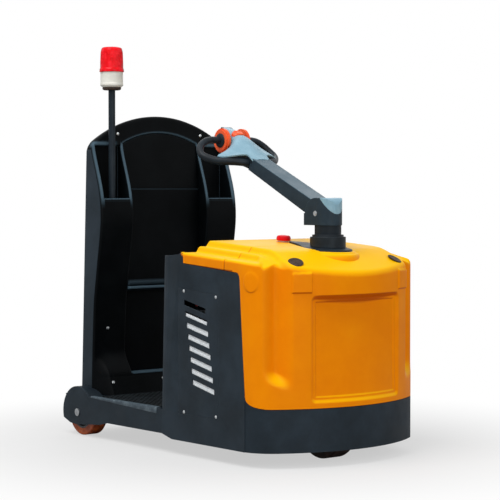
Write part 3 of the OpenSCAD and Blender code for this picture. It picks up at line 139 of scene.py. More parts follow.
def new_finish(name):
    """A named material with an empty node tree, its Principled shader and its object coordinates."""
    made = bpy.data.materials.new(name)
    made.use_nodes = True
    made.node_tree.nodes.clear()
    shader = node(made.node_tree, "ShaderNodeBsdfPrincipled")
    node(made.node_tree, "ShaderNodeOutputMaterial", (), {0: shader.outputs[0]})
    place = node(made.node_tree, "ShaderNodeTexCoord").outputs["Object"]
    return made, made.node_tree, shader, place


def finish(
    name, tones, cloud, rough, grain, relief,
    specular=0.5, edge=None, edge_width=2.2, painted_top_light=None, painted_under_shade=None, worn=None, deep=None, **shine,
):
    """A finish of mottled tones (sRGB hex codes, dark to pale), with clouds that many mm across.

    rough is the lowest and highest roughness, grain the mm between bumps and relief the bumps' height in mm.
    The optional tones go over the clouds in this order: a paler tone where the surface turns sharply, partly edge wear
    and partly a painted highlight; painted light where it looks up; painted shade where it looks down; a painted
    highlight where its mesh stores a high highlight value; and painted shade where it is seen edge on.
    shine holds values for the shader's own sockets.
    """
    made, tree, shader, place = new_finish(name)
    tones = tones.split()
    shader.inputs["Specular IOR Level"].default_value = specular
    for key, value in shine.items():
        shader.inputs[key.replace("_", " ")].default_value = value
    cloudy = {"Scale": 1000 / cloud, "Detail": 6, "Roughness": 0.62}
    clouds = node(tree, "ShaderNodeTexNoise", cloudy, {"Vector": place})
    ramp = node(tree, "ShaderNodeValToRGB", (), {0: clouds.outputs[0]})
    stops = ramp.color_ramp.elements
    for i, tone in enumerate(tones):
        spot = DARKEST_AT + TONES_SPAN * i / max(len(tones) - 1, 1)
        stop = stops[i] if i < 2 else stops.new(spot)
        stop.position = spot
        stop.color = linear(tone)
    layers = []  # tones over the clouds, each with its amount
    # Painted light and shade: a paler tone on faces that look up, and a darker one on faces that look down (the darkest
    # cloud tone if none is given).
    if painted_top_light:
        normal = node(tree, "ShaderNodeNewGeometry").outputs["Normal"]
        up = node(tree, "ShaderNodeSeparateXYZ", (), {0: normal}).outputs["Z"]
        above = node(tree, "ShaderNodeMapRange", {"From Min": 0.1, "From Max": 0.8, "To Max": 0.92}, {0: up})
        below = node(tree, "ShaderNodeMapRange", {"From Min": -0.08, "From Max": -0.6, "To Max": 0.85}, {0: up})
        layers += [(painted_top_light, above.outputs[0]), (painted_under_shade or tones[0], below.outputs[0])]
    # Painted highlight: a paler tone where the mesh stores a high highlight value.
    if worn:
        layers.append((worn, node(tree, "ShaderNodeAttribute", {"attribute_name": "worn"}).outputs["Fac"]))
    # Painted shade: a darker tone where the surface is seen edge on.
    if deep:
        facing = node(tree, "ShaderNodeLayerWeight", {"Blend": 0.5}).outputs["Facing"]
        edge_on_painted_shade = node(tree, "ShaderNodeMapRange", {"From Min": 0.55, "From Max": 0.95}, {0: facing})
        layers.append((deep, edge_on_painted_shade.outputs[0]))
    grainy = {"Scale": 1000 / grain, "Detail": 3, "Roughness": 0.5}
    fine = node(tree, "ShaderNodeTexNoise", grainy, {"Vector": place})
    bump = node(tree, "ShaderNodeBump", {"Distance": relief * MM}, {"Height": fine.outputs[0]})
    # A paler tone where the surface turns sharply, partly edge wear and partly a painted highlight; the rounded normal
    # also shades the edge.
    if edge:
        turned = node(tree, "ShaderNodeBevel", {"samples": 4, "Radius": edge_width * MM}).outputs[0]
        flat = node(tree, "ShaderNodeNewGeometry").outputs["Normal"]
        match = node(tree, "ShaderNodeVectorMath", {"operation": "DOT_PRODUCT"}, {0: turned, 1: flat}).outputs["Value"]
        edge_wear_and_highlight = node(tree, "ShaderNodeMapRange", {"From Min": 0.99, "From Max": 0.86, "To Max": 0.75}, {0: match})
        layers.append((edge, edge_wear_and_highlight.outputs[0]))
        tree.links.new(turned, bump.inputs["Normal"])
    colour = ramp.outputs[0]
    for tone, amount in layers:
        colour = node(tree, "ShaderNodeMix", {"data_type": "RGBA", 7: linear(tone)}, {0: amount, 6: colour}).outputs[2]
    tree.links.new(colour, shader.inputs["Base Color"])
    tree.links.new(bump.outputs[0], shader.inputs["Normal"])
    patch = node(tree, "ShaderNodeTexNoise", {"Scale": 1000 / (cloud * 0.55), "Detail": 4}, {"Vector": place})
    spread = {"From Min": 0.3, "From Max": 0.7, "To Min": rough[0], "To Max": rough[1]}
    dull = node(tree, "ShaderNodeMapRange", spread, {0: patch.outputs[0]})
    tree.links.new(dull.outputs[0], shader.inputs["Roughness"])
    return made


FINISHES = {
    # Glass fibre shell with a sprayed yellow gel coat: soft gloss and long low ripples. Painted light makes faces that
    # look up paler yellow, and painted shade makes faces that look down deeper orange.
    "hood_yellow": finish(
        "yellow_gel_coat", "#ee8400 #f28a00 #f59100", 260, (0.36, 0.46), 46, 0.1,
        painted_top_light="#fec400", painted_under_shade="#b44c00", specular=0.06,
    ),
    # Steel plate in a fine textured powder coat: matt slate grey with a dry, even grain.
    # Its sharp edges are paler: partly wear, partly a painted highlight.
    "body_paint": finish(
        "slate_powder_coat", "#192229 #1e2830 #232e37", 150, (0.5, 0.62), 1.6, 0.05, edge="#3a444c", specular=0.16,
    ),
    # Welded frame in brushed-on chassis paint: darker, a little shinier, with brush ripples.
    # Its sharp edges are paler: partly wear, partly a painted highlight.
    "frame_paint": finish(
        "chassis_paint", "#151c22 #1a2229 #20292f", 90, (0.4, 0.55), 9, 0.06, edge="#36434c", specular=0.14,
    ),
    # Rotationally moulded polyethylene: near black, waxy, with a very fine skin grain. Its paler rounded edges are
    # partly wear and partly a painted highlight; the paler rims stored in its mesh are a painted highlight.
    "black_plastic": finish(
        "moulded_black_polyethylene", "#010304 #030507 #05080a", 120, (0.42, 0.55), 2.4, 0.04,
        edge="#2f3d47", edge_width=6, worn="#4b606d", specular=0.06,
    ),
    # Soft vinyl grips and lower head: slate black with a leathery satin skin.
    "grip_black": finish("soft_vinyl", "#10171d #151e25 #1b252d", 50, (0.4, 0.5), 2, 0.04, specular=0.2),
    # The backrest's outer side skins: the same polyethylene in a paler slate tone, dull and smooth; the paler tone is
    # painted light for the light falling on that side.
    "shell_side": finish("slate_polyethylene", "#222b32 #283139 #2d3740", 200, (0.5, 0.62), 3, 0.04, specular=0.12),
    # Powder coat rubbed by shoes along the platform's nosing: paler, with bare grey patches.
    "rubbed_slate": finish("rubbed_powder_coat", "#35414a #44515a #5d6a72", 26, (0.4, 0.6), 1.6, 0.04, specular=0.25),
    # Moulded rubber covers, brown black and dusty.
    "cover_brown": finish("dusty_rubber", "#2b211b #3a2d25 #4a3c33", 16, (0.5, 0.7), 2, 0.05, specular=0.2),
    # Bright turned and ground steel, with faint marks from the tool.
    "steel": finish("ground_steel", "#9b9ea1 #a9acaf #b6b9bb", 30, (0.28, 0.4), 1.2, 0.02, Metallic=1),
    # Zinc plated fasteners: pale, cool, slightly cloudy metal.
    "zinc": finish("zinc_plate", "#b3b8bb #c3c7c9 #d3d6d6", 9, (0.3, 0.46), 1, 0.02, Metallic=1),
    # Sand cast iron, painted thinly black-grey: coarse sandy skin.
    # Its sharp edges are paler: partly wear, partly a painted highlight.
    "iron": finish(
        "sand_cast_iron", "#34373a #3e4144 #4a4d4f", 40, (0.55, 0.75), 2.2, 0.18, edge="#6b6d6e", Metallic=0.35,
    ),
    # Extruded aluminium with a dark anodised skin: grey black and satin, with drawn lines.
    "aluminium": finish("dark_anodised_aluminium", "#23272a #2b2f33 #34393d", 24, (0.4, 0.5), 1.4, 0.02, Metallic=0.2),
    # Steel arm in satin slate enamel: smooth and softly shiny. Painted light makes faces that look up paler, and
    # painted shade makes faces that look down darker; its sharp edges are paler, partly wear and partly a painted
    # highlight.
    "arm_paint": finish(
        "slate_enamel", "#1f2b34 #24313b #293741", 110, (0.42, 0.52), 12, 0.05,
        edge="#48606f", painted_top_light="#425966", specular=0.14,
    ),
    # Injection moulded ABS in pale blue grey: spark-eroded mould grain and a satin skin.
    "head_plastic": finish("pale_grained_abs", "#799fb0 #82a6b7 #8aaebe", 60, (0.4, 0.52), 1.8, 0.03, specular=0.4),
    # Soft orange thermoplastic rubber: even, warm and slightly waxy.
    "orange_plastic": finish("orange_soft_rubber", "#e5501f #ee5a28 #f36431", 40, (0.4, 0.52), 2, 0.04, specular=0.4),
    # Injection moulded nylon in signal red: glossy, with a faint flow pattern.
    "red_plastic": finish("red_nylon", "#d00a18 #dc0e1c #e81422", 30, (0.3, 0.42), 4, 0.03, specular=0.12),
    # Black acetal buttons: smooth, with a dull polish from fingers.
    "button_plastic": finish("black_acetal", "#15171a #1b1e21 #22262a", 20, (0.3, 0.5), 1.5, 0.02),
    # Off-white ABS: slightly warm, weathered to a chalky satin.
    "white_plastic": finish("weathered_white_abs", "#d6d5cb #e0dfd6 #e8e7df", 45, (0.42, 0.58), 2, 0.03),
    # Air filter fleece behind the vents: bluish white bonded fibre.
    "filter_fleece": finish("white_filter_fleece", "#edf5fb #f4f9fd #fafdff", 22, (0.8, 0.95), 0.9, 0.1, specular=0.1),
    # Cast polyurethane tread, orange brown: dull, with a turned grain and road dust.
    "tread_brown": finish("brown_polyurethane", "#7c2f0c #98400f #b45214", 35, (0.5, 0.7), 3, 0.1),
    # Cast polyurethane tread, dark brown and dirty.
    "tread_dark": finish("dark_polyurethane", "#241713 #2e1c16 #39241c", 35, (0.5, 0.7), 3, 0.1),
    # Studded nitrile rubber mat: matt black with pale dust.
    "mat_rubber": finish("black_nitrile_rubber", "#090d10 #0f1417 #171d21", 60, (0.6, 0.8), 2, 0.06, specular=0.12),
    # PVC covered battery leads: bright red and slightly greasy.
    "cable_red": finish("red_pvc_cable", "#8f1414 #a61a1a #b72222", 30, (0.35, 0.5), 3, 0.03),
    # Enamelled steel battery trough: mid blue grey, paler on its sharp edges, partly scuffs and partly a painted
    # highlight.
    "battery_case": finish("battery_enamel", "#3a4148 #474e55 #565d63", 70, (0.4, 0.6), 6, 0.05, edge="#7a7f83"),
    # Liquid crystal display under acrylic: grey green and glossy.
    "screen": finish("display_glass", "#5f6f61 #68786a #728373", 20, (0.08, 0.14), 8, 0.01, Coat_Weight=0.6),
    # Clear halogen bulb: pale, see-through glass.
    "clear_bulb": finish("bulb_glass", "#f2f0ea #f6f5f0", 20, (0.03, 0.06), 10, 0.005, Transmission_Weight=0.8),
    # Pressed aluminium reflector, vacuum plated: mirror bright.
    "reflector": finish("plated_reflector", "#c9cccd #d8dadb", 16, (0.12, 0.2), 8, 0.02, Metallic=1),
    # Red polycarbonate lens: clear, deep red, wet looking, with painted shade: a darker red where it is seen edge on.
    "red_lens": finish(
        "red_polycarbonate", "#e20712 #f6101d #ff2634", 26, (0.2, 0.3), 14, 0.02,
        deep="#7c0812", Transmission_Weight=0.1, IOR=1.58, specular=0.06,
    ),
}

for part in frame["record"]["subparts"]:
    carried = NODES[part["node"] if "node" in part else part["name"]]
    carried.data.materials.clear()
    carried.data.materials.append(FINISHES[part["material_slot"]])

# ---------------------------------------------------------------- ways of making a surface


def smooth(low, high, value):
    """Goes from 0 at low to 1 at high with level ends: three t squared less two t cubed."""
    t = clip((value - low) / (high - low), 0, 1)
    return t * t * (3 - 2 * t)


def edge_drop(gap, radius):
    """How far a rounded edge has fallen back at a gap from it: a quarter circle of the radius."""
    return radius - sqrt(maximum(radius**2 - maximum(radius - maximum(gap, 0), 0) ** 2, 0))


def read(items, key):
    """A vector of each of a mesh's vertices or faces, all read at once as rows of three."""
    flat = np.zeros(len(items) * 3, np.float32)
    items.foreach_get(key, flat)
    return flat.reshape(-1, 3).astype(float)


def shaded(name, mesh, sharp):
    """A new object for a mesh, smooth but for the edges that turn by more than sharp degrees."""
    made = bpy.data.objects.new(name, mesh)
    scene.collection.objects.link(made)
    mesh.shade_smooth()
    mesh.set_sharp_from_angle(angle=math.radians(sharp))
    return made


def piece(name, points, quads, finish_name, body, stands_for=(), wall=0, sharp=40, slot=None):
    """One piece from points in mm and faces: doubles are merged, faces turned outwards, and a wall grows inwards."""
    mesh = bpy.data.meshes.new(name)
    mesh.from_pydata((np.asarray(points, float) * MM).tolist(), [], np.asarray(quads).tolist())
    shape = bmesh.new()
    shape.from_mesh(mesh)
    bmesh.ops.remove_doubles(shape, verts=shape.verts, dist=0.02 * MM)
    bmesh.ops.dissolve_degenerate(shape, edges=shape.edges, dist=0.01 * MM)
    bmesh.ops.recalc_face_normals(shape, faces=shape.faces)
    shape.to_mesh(mesh)
    shape.free()
    made = shaded(name, mesh, sharp)
    mesh.materials.append(FINISHES[finish_name])
    if wall:
        thick = made.modifiers.new("wall", "SOLIDIFY")
        thick.thickness = wall * MM
        thick.offset = -1
    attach(made, body)
    if stands_for:
        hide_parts(*stands_for)
    return made


def quads_of(rows, columns, round_rows=False, round_columns=False):
    """The faces of a grid of rows by columns points, joined round on itself where asked."""
    i = arange(rows if round_rows else rows - 1)[:, None]
    j = arange(columns if round_columns else columns - 1)[None, :]
    ni, nj = (i + 1) % rows, (j + 1) % columns
    return stack([i * columns + j, i * columns + nj, ni * columns + nj, ni * columns + j], -1).reshape(-1, 4)


def skin(name, grid, finish_name, body, round_rows=False, round_columns=True, **more):
    """A piece over a grid of points, an array of rows by columns by three, usually with rings for rows."""
    quads = quads_of(*grid.shape[:2], round_rows, round_columns)
    return piece(name, grid.reshape(-1, 3), quads, finish_name, body, **more)


def lift(grid, amount):
    """Moves each point of a grid along its own normal, the cross product of the two differences there."""
    normal = np.cross(np.gradient(grid, axis=1), np.gradient(grid, axis=0))
    normal /= maximum(norm(normal, axis=-1, keepdims=True), 1e-9)
    return grid + normal * amount[..., None]


def closed(grid):
    """Rows of rings, closed by one more at each end that is drawn together in its middle."""
    cap = grid.mean(1, keepdims=True) + np.zeros_like(grid)
    return concatenate([cap[:1], grid, cap[-1:]])


def slab(x_front, x_rear, y, z):
    """Rows that run over a front and back over its rear, closed at both ends by the rear's own end rows."""
    front, rear = (stack([x, y, z], -1) for x in (x_front, x_rear))
    cap = concatenate([rear, rear[:, ::-1]], 1)
    return concatenate([cap[:1], concatenate([front, rear[:, ::-1]], 1), cap[-1:]])


def eased(name, width):
    """A merged copy of a CAD node with its edges rounded over by width mm, shown in its place."""
    source = NODES[name]
    mesh = source.data.copy()
    shape = bmesh.new()
    shape.from_mesh(mesh)
    bmesh.ops.remove_doubles(shape, verts=shape.verts, dist=0.01 * MM)
    bmesh.ops.dissolve_limit(shape, verts=shape.verts, edges=shape.edges, angle_limit=0.02)
    shape.to_mesh(mesh)
    shape.free()
    mesh.name = name + "_eased"
    made = shaded(name + "_eased", mesh, 35)
    ease = made.modifiers.new("ease", "BEVEL")
    ease.width = width * MM
    ease.segments = 2
    ease.limit_method = "ANGLE"
    ease.angle_limit = math.radians(28)
    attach(made, source["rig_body"])
    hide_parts(name)
    return made


OPEN = {"round_columns": False}  # for a grid whose rows are not rings

# ---------------------------------------------------------------- the two yellow hoods

COLLAR = array([546, 0])  # the steering column's place on the deck
HOLE = 54  # radius of the hole round the collar
DECK_REAR, DECK_TOP, DECK_FALL = 167, 811, math.radians(3.6)  # the deck's rear rim, height there, and slope
BOW_X, BOW = 120, 620  # centre and radius of the nose's bow
HOOD_HALF, SEAM_X, REAR_SEAM_X = 400, 425, 423  # half the hoods' width, and their seam's two sides
HOOD_WALL, EDGE_ROUND = 4.5, 12  # the shells' thickness, and their upper edge's radius


def deck_plane(x):
    """Height of the hood's flat deck before its brow."""
    return DECK_TOP - math.tan(DECK_FALL) * (x - DECK_REAR)


def deck_height(x, y):
    """Height of the hood's top: the lower of two heights, eased by the root of their squared difference and 90: the
    sloping plane, stepped down twice towards each side, and a brow that falls to the nose and rises to both sides."""
    across = abs(y)
    past = maximum(x - 530, 0)
    inner = smooth(-12, 12, across - 276 - 0.14 * past)
    outer = smooth(-9.5, 9.5, across - 324.5 - 0.62 * past)
    plane = deck_plane(x) - 21 * (inner + outer)
    r = hypot(x - BOW_X, y)
    brow = 703 + 25 * minimum((y / 280) ** 2, 1.3) + 0.53 * (BOW - r) - 17 * inner * (1 - outer)
    return (plane + brow - sqrt((plane - brow) ** 2 + 90)) / 2


def seam_roll(gap):
    """How far a shell is rolled in at a gap from the seam: a parabola over the last 5 mm."""
    return 2.5 * maximum(1 - gap / 5, 0) ** 2


# The rows' shares of the way from the rounded edge to the aim: close together over the two steps.
TOP_STEPS = concatenate([
    [0, 8, 18, 30, 42, 50], arange(54, 79, 4), [86], arange(94, 127, 4), [132, 148, 178, 218, 268, 318, 388],
]) / 388
EVEN_TOP = 640  # the wall's rows are level up to here


def hood_grid(foot, out, aim, low, inset, radius, dent=np.zeros_like):
    """Columns that start at an outline point, rise up the wall, turn over a round edge and run to an aim on the top.

    foot, out and aim are the columns' outline points, outward directions and aims, low their lower ends, inset how far
    they are rolled in at a seam, radius the round edge's, and dent(z) how far the wall stands back at a height.
    """
    height = concatenate([
        arange(213, 223, 3), arange(223, 263, 2.4), arange(264, 300, 7), arange(300, 366, 6),
        arange(368, 586, 16), arange(588, 641, 2.4),
    ])
    wall = maximum(height[:, None], low)
    edge_from = np.full(len(foot), 660)  # where the round edge starts: a guess first
    for _ in range(2):
        start = foot - out * (dent(edge_from[None])[0] + inset)[:, None]
        edge_from = deck_height(start[:, 0], start[:, 1]) - radius
    upper = EVEN_TOP + (edge_from - inset - EVEN_TOP) * linspace(0.08, 1, 13)[:, None]
    wall = concatenate([wall, maximum(upper, low)])
    lean = (dent(wall) + inset)[..., None]
    sides = concatenate([foot - out * lean, wall[..., None]], -1)
    reach = aim - start
    length = norm(reach, axis=1)
    square = abs((reach * out).sum(1)) / length
    turn = radius * (1 - cos(np.radians(linspace(12, 90, 7))))[:, None] / square
    run = concatenate([turn, turn[-1] + (length - turn[-1]) * TOP_STEPS[1:, None]])
    spot = start + reach / length[:, None] * run[..., None]
    rise = deck_height(spot[..., 0], spot[..., 1]) - edge_drop(run * square, radius) - inset
    return concatenate([sides, concatenate([spot, rise[..., None]], -1)])


# Front hood: columns at these lengths in mm along the outline, from the seam on the near side to the nose: straight
# beside the seam, then a corner, then the nose's bow.
STRAIGHT, CORNER, CORNER_TURN, BOW_TURN = 93, 150, math.radians(57.9), math.radians(32.1)
near = concatenate([
    [0, 1.2, 2.8, 5], linspace(8, 64, 10), linspace(67, 91, 9), linspace(92.5, 119, 15),
    linspace(123, 171, 13), linspace(174.2, 301, 38), linspace(303, 400, 50), linspace(406, 591.9, 32),
])
along = concatenate([near, (2 * near[-1] - near)[::-1][1:]])
half = minimum(along, 2 * near[-1] - along)
side = where(along < near[-1], -1, 1)
corner = clip((half - STRAIGHT) / CORNER, 0, CORNER_TURN)
bow = BOW_TURN - maximum(half - STRAIGHT - CORNER * CORNER_TURN, 0) / BOW
on_bow = half > STRAIGHT + CORNER * CORNER_TURN
turn_angle = where(on_bow, math.pi / 2 - bow, corner)
out = stack([sin(turn_angle), side * cos(turn_angle)], 1)
foot_x = where(half < STRAIGHT, SEAM_X + half, SEAM_X + STRAIGHT + CORNER * sin(corner))
foot_x = where(on_bow, BOW_X + BOW * cos(bow), foot_x)
foot_y = where(half < STRAIGHT, HOOD_HALF, HOOD_HALF - CORNER + CORNER * cos(corner))
foot_y = where(on_bow, BOW * sin(bow), foot_y)
foot = stack([foot_x, side * foot_y], 1)


def joint_height(x):
    """Lower edge of the hood on the side: a gentle fall, a round corner, a steep line and an elliptical foot."""
    line = interp(x, (167, 177, 178, 490), (770, 750, 729, 706))
    t = clip((x - 490) / 26, 0, 1)
    corner_z = 680 + 26 * sqrt(1 - t**2)
    steep = interp(x, (516, 544), (680, 253))
    e = clip((x - 544) / 89, 0, 1)
    ellipse = 253 - 38 * sqrt(1 - (1 - e) ** 2)
    return where(x < 490, line, where(x < 516, corner_z, where(x < 544, steep, ellipse)))


def front_dent(z):
    """How far the front hood's wall stands back: a tall flute at each corner, and on the nose a panel and a scoop.

    The panel sinks by the signed distance inside a rectangle with round corners. The scoop is an arch under the brow
    that curls in as a square and fades downwards.
    """
    s = half - 174.2
    flute = 33 * smooth(12, 66, s) * (1 - smooth(70, 133, s)) * smooth(292, 348, z + 0.35 * (s - 70))
    across = foot[:, 1]
    middle, wide, tall, turn = 427, 220, 195, 22  # the panel's height, half width, half height, corner radius
    qy = abs(across) - (wide - turn)
    qz = abs(z - middle) - (tall - turn)
    inside = turn - hypot(maximum(qy, 0), maximum(qz, 0)) - minimum(maximum(qy, qz), 0)
    panel = 8 * smooth(0, 15, inside) + 3.5 * smooth(21, 26, inside)
    under = 624 - z
    arch = maximum(1 - (across / 214) ** 2, 0)
    curl = 1 - (1 - clip(under / (14 + 30 * arch), 0, 1)) ** 2
    scoop = 34 * arch * curl * clip((392 - under) / 350, 0, 1)
    return flute + where(on_bow, panel + scoop, 0)


# Beside the seam the columns aim straight across at the middle line, past that at points round the collar's hole.
ACROSS = 67
aim_turn = (along - ACROSS) / (2 * near[-1] - 2 * ACROSS) * 2 * math.pi - math.pi
aim = where(
    (half < ACROSS)[:, None],
    stack([foot_x, np.zeros_like(foot_x)], 1),
    COLLAR + HOLE * stack([cos(aim_turn), sin(aim_turn)], 1),
)
radius = EDGE_ROUND + 6 * smooth(245, 330, half)
grid = hood_grid(foot, out, aim, joint_height(foot_x), seam_roll(half), radius, front_dent)

# Raised pads at the nose's upper corners and a faint oval boss on each shoulder, lifted along the surface's normal.
PAD_Y, PAD_HALF, PAD_FOOT, PAD_TALL, PAD_RISE = 248, 34, 632, 72, 5
BOSS_ALONG, BOSS_Z, BOSS_WIDE, BOSS_TALL, BOSS_RISE = 145, 672, 32, 37, 2.6
step = norm(np.diff(grid, axis=0), axis=-1)
climb = concatenate([np.zeros((1, grid.shape[1])), np.cumsum(step, 0)])
climb = climb - climb[int(np.argmax(grid[:, near.size - 1, 2] >= PAD_FOOT))]
edge_y = PAD_HALF - abs(abs(grid[..., 1]) - PAD_Y)
edge_z = minimum(climb, PAD_TALL - climb)
pad = smooth(-1.5, 2.5, minimum(edge_y, edge_z)) * on_bow
boss_from = hypot((half - BOSS_ALONG) / BOSS_WIDE, (grid[..., 2] - BOSS_Z) / BOSS_TALL)
boss = BOSS_RISE * smooth(1.04, 0.94, boss_from) * (half < 200)
grid = lift(grid, PAD_RISE * pad + boss)
skin("front_hood_shell", grid, "hood_yellow", "tractor", stands_for=("front_hood",), wall=HOOD_WALL, sharp=60, **OPEN)

# Rear hood: the same section carried along the truck, with a rolled rear rim that has a lip inside, and the seam.
RIM_ROUND, LIP = 6, 16
x = concatenate([
    [167, 167, 167.4, 168.5, 170.2, 173, 177, 178.5], linspace(184, 410, 26), [418, 420.2, 421.8, 423],
])
roll = edge_drop(x - DECK_REAR, RIM_ROUND) + seam_roll(REAR_SEAM_X - x)
roll[0] = LIP
plan = stack([x, np.full_like(x, -HOOD_HALF)], 1)
grid = hood_grid(plan, np.tile((0, -1), (len(x), 1)), plan * (1, 0), joint_height(x), roll, EDGE_ROUND)
grid = concatenate([grid, (grid * (1, -1, 1))[::-1][1:]])
skin("rear_hood_shell", grid, "hood_yellow", "tractor", stands_for=("rear_hood",), wall=HOOD_WALL, sharp=60, **OPEN)

# ---------------------------------------------------------------- plate and ring round the collar, stop button

ROUND, TIP, TIP_AWAY = 92, 12, 205  # the teardrop's radii at the collar and the tip, and the way between them
FALL = (400, 560)  # where the ring and the plate fall away towards the nose


def teardrop(gap):
    """Outline round the circles at the collar and at the tip, with the same gap all round, and its normals.

    A point is its circle's centre plus radius along the outward normal; the straight sides share one normal.
    """
    count, between = 150, 22
    split = math.acos((TIP - ROUND) / TIP_AWAY)
    big = linspace(-split, split, count)
    small = linspace(split, 2 * math.pi - split, 30)
    line = linspace(0, 1, between + 2)[1:-1, None]
    angle = concatenate([big, np.full(between, split), small, np.full(between, -split)])
    normal = stack([cos(angle), sin(angle)], 1)
    start = COLLAR + ROUND * normal
    end = COLLAR - (TIP_AWAY, 0) + TIP * normal
    place = where((arange(len(angle)) < count)[:, None], start, end)
    place[count : count + between] = start[count - 1] + (end[count] - start[count - 1]) * line
    place[-between:] = end[-between - 1] + (start[0] - end[-between - 1]) * line
    return place + gap * normal, normal


# Ring under the deck plate: a closed profile (gap, height over the deck's plane) carried round the teardrop and draped.
RING = (
    (-14, -1.2), (-6, -0.8), (-1, -0.6), (2, 0.2), (5, 0.8), (8, 0.2), (11, -2), (13, -5), (16, -6.6), (20, -7.2),
    (23, -9.5), (26, -15), (29, -24), (32, -40), (20, -46), (0, -20), (-14, -9),
)
rings = []
for gap, height in RING:
    place, _ = teardrop(gap)
    level = deck_plane(place[:, 0]) + height - 8 * smooth(*FALL, place[:, 0])
    if height > -30:
        level = maximum(level, deck_height(place[:, 0], place[:, 1]) - 3 - 0.05 * gap)
    rings.append(np.column_stack([place, level]))
skin("deck_ring", array(rings), "hood_yellow", "tractor", round_rows=True, sharp=50)

# Flange plate: a closed profile (gap, height over the deck, fall) round the same teardrop, drawn in to the middle.
PLATE_DEPTH, PLATE_HOLE = 54, 38
PLATE = (
    (-54, 7.4, 0), (-40, 7.4, 2), (-24, 7.2, 5), (-12, 7, 9), (-5, 6.8, 11), (-1.6, 6.4, 12), (-0.4, 5.2, 12.4),
    (-0.4, -1, 12.4), (-2, -1.6, 12), (-24, -1.6, 6), (-54, -1.6, 0),
)
rings = []
outline, normal = teardrop(0)
hole = COLLAR + PLATE_HOLE * normal
inner = where(outline[:, :1] > 470, hole, stack([outline[:, 0], np.zeros(len(outline))], 1))
for gap, height, fall in PLATE:
    place = outline + (inner - outline) * min(-gap / PLATE_DEPTH, 1)
    level = deck_plane(place[:, 0]) + height - 0.72 * fall * smooth(*FALL, place[:, 0])
    rings.append(np.column_stack([place, level]))
grid = array(rings)
skin("flange_plate", grid, "frame_paint", "tractor", stands_for=("deck_plate",), round_rows=True, slot="black_plastic")


def lathe(name, profile, finish_name, body, place, axis=(0, 0, 1), count=64, ribs=0, **more):
    """A profile of radius and height turned round an axis through place; ends on the axis close it.

    ribs is a wave's height in mm, one for each profile point: the radius gains it times the cosine of 48 turns.
    """
    axis = array(axis, float) / norm(axis)
    side = np.cross(axis, (0, 1, 0) if abs(axis[1]) < 0.9 else (1, 0, 0))
    side /= norm(side)
    turn = linspace(0, 2 * math.pi, count, endpoint=False)[None, :, None]
    ring = cos(turn) * side + sin(turn) * np.cross(axis, side)
    profile = np.asarray(profile, float)[:, :, None, None]
    wave = np.broadcast_to(ribs, len(profile))[:, None, None] * cos(48 * turn)
    grid = np.asarray(place, float) + (profile[:, 0] + wave) * ring + profile[:, 1] * axis
    return skin(name, grid, finish_name, body, **more)


def rounded(points, radii, steps=5):
    """A chain of points whose corners are rounded: a quadratic curve between two cut points, pulled by the corner."""
    points, radii = np.asarray(points, float), np.asarray(radii, float)
    before, after = points[:-2] - points[1:-1], points[2:] - points[1:-1]
    lb, la = norm(before, axis=1), norm(after, axis=1)
    cut = minimum(radii, 0.48 * minimum(lb, la))[:, None]
    a, b = points[1:-1] + before / lb[:, None] * cut, points[1:-1] + after / la[:, None] * cut
    t = linspace(0, 1, steps)[:, None, None]
    bend = (1 - t) ** 2 * a + 2 * t * (1 - t) * points[1:-1] + t**2 * b
    return concatenate([points[:1], bend.transpose(1, 0, 2).reshape(-1, points.shape[1]), points[-1:]])


# Stop button: a thick mushroom head with a dished top and a skirt, on its stem.
SEAT_X = 289
tilt = array([math.sin(DECK_FALL), 0, math.cos(DECK_FALL)])
seat = array([SEAT_X, 0, deck_plane(SEAT_X)])
head = (
    (0, -17.4), (10.8, -17.4), (10.8, 11.4), (22, 11.4), (22, 5.8), (27, 5.8), (28, 14), (25, 24), (10, 26.5), (0, 26),
)
lathe(
    "stop_button_head", rounded(head, [1, 1, 1, 0.6, 1.2, 3, 6, 4]),
    "red_plastic", "stop_button", seat, tilt, stands_for=("stop_button",),
)
bezel = rounded([(23, -3), (23, 0.2), (28.6, 0.2), (28.6, -3), (23, -3)], [0.3, 0.5, 0.3])
lathe("stop_bezel", bezel, "red_plastic", "tractor", seat, tilt, round_rows=True)

# Covers over the hood's fasteners: dished discs, in the middle of their CAD node's points and along their least spread.
covers = read(NODES["hood_plugs"].data.vertices, "co") / MM
dish = rounded([(0, -2), (27, -2), (29, 1), (26, 3.2), (22, 3.4), (18, 2.2), (0, 1.8)], [0.5, 1, 1.5, 1, 1.5])
for name, hand in (("right_hood_cover", -1), ("left_hood_cover", 1)):
    mine = covers[covers[:, 1] * hand > 0]
    mid = (mine.max(0) + mine.min(0)) / 2
    away = svd(mine - mine.mean(0))[2][2]
    away *= np.sign(away[2])
    made = lathe(name, dish, "cover_brown", "tractor", mid, away, slot="black_plastic")
    if hand > 0:
        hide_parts("hood_plugs")

# Beacon: ribbed dome with a lip, white housing with a rolled foot, and a rubber gasket on the mast's top.
mast_top = (-479, -268, 1409)
dome = rounded(
    [(44, 74.5), (50, 74.5), (50, 84), (47.2, 90), (44.6, 160), (40, 173.5), (22, 176.6), (0, 177)],
    [0.5, 2, 3, 9, 9, 6], 6,
)
dome = concatenate([linspace(a, b, 4)[:-1] for a, b in zip(dome[:-1], dome[1:])] + [dome[-1:]])
wave = 0.55 * smooth(92, 98, dome[:, 1]) * smooth(162, 150, dome[:, 1])
lathe("beacon_dome", dome, "red_lens", "tractor", mast_top, count=288, ribs=wave, stands_for=("beacon_lens",), wall=2.4)
housing = rounded(
    [(13, 12.2), (38, 12.2), (47, 19), (47, 27), (45.8, 29), (45.8, 68), (46.8, 74.2), (13, 74.2), (13, 12.2)],
    [1, 2, 3, 1, 1, 3, 1],
)
lathe("beacon_housing", housing, "white_plastic", "tractor", mast_top, stands_for=("beacon_base",), round_rows=True)
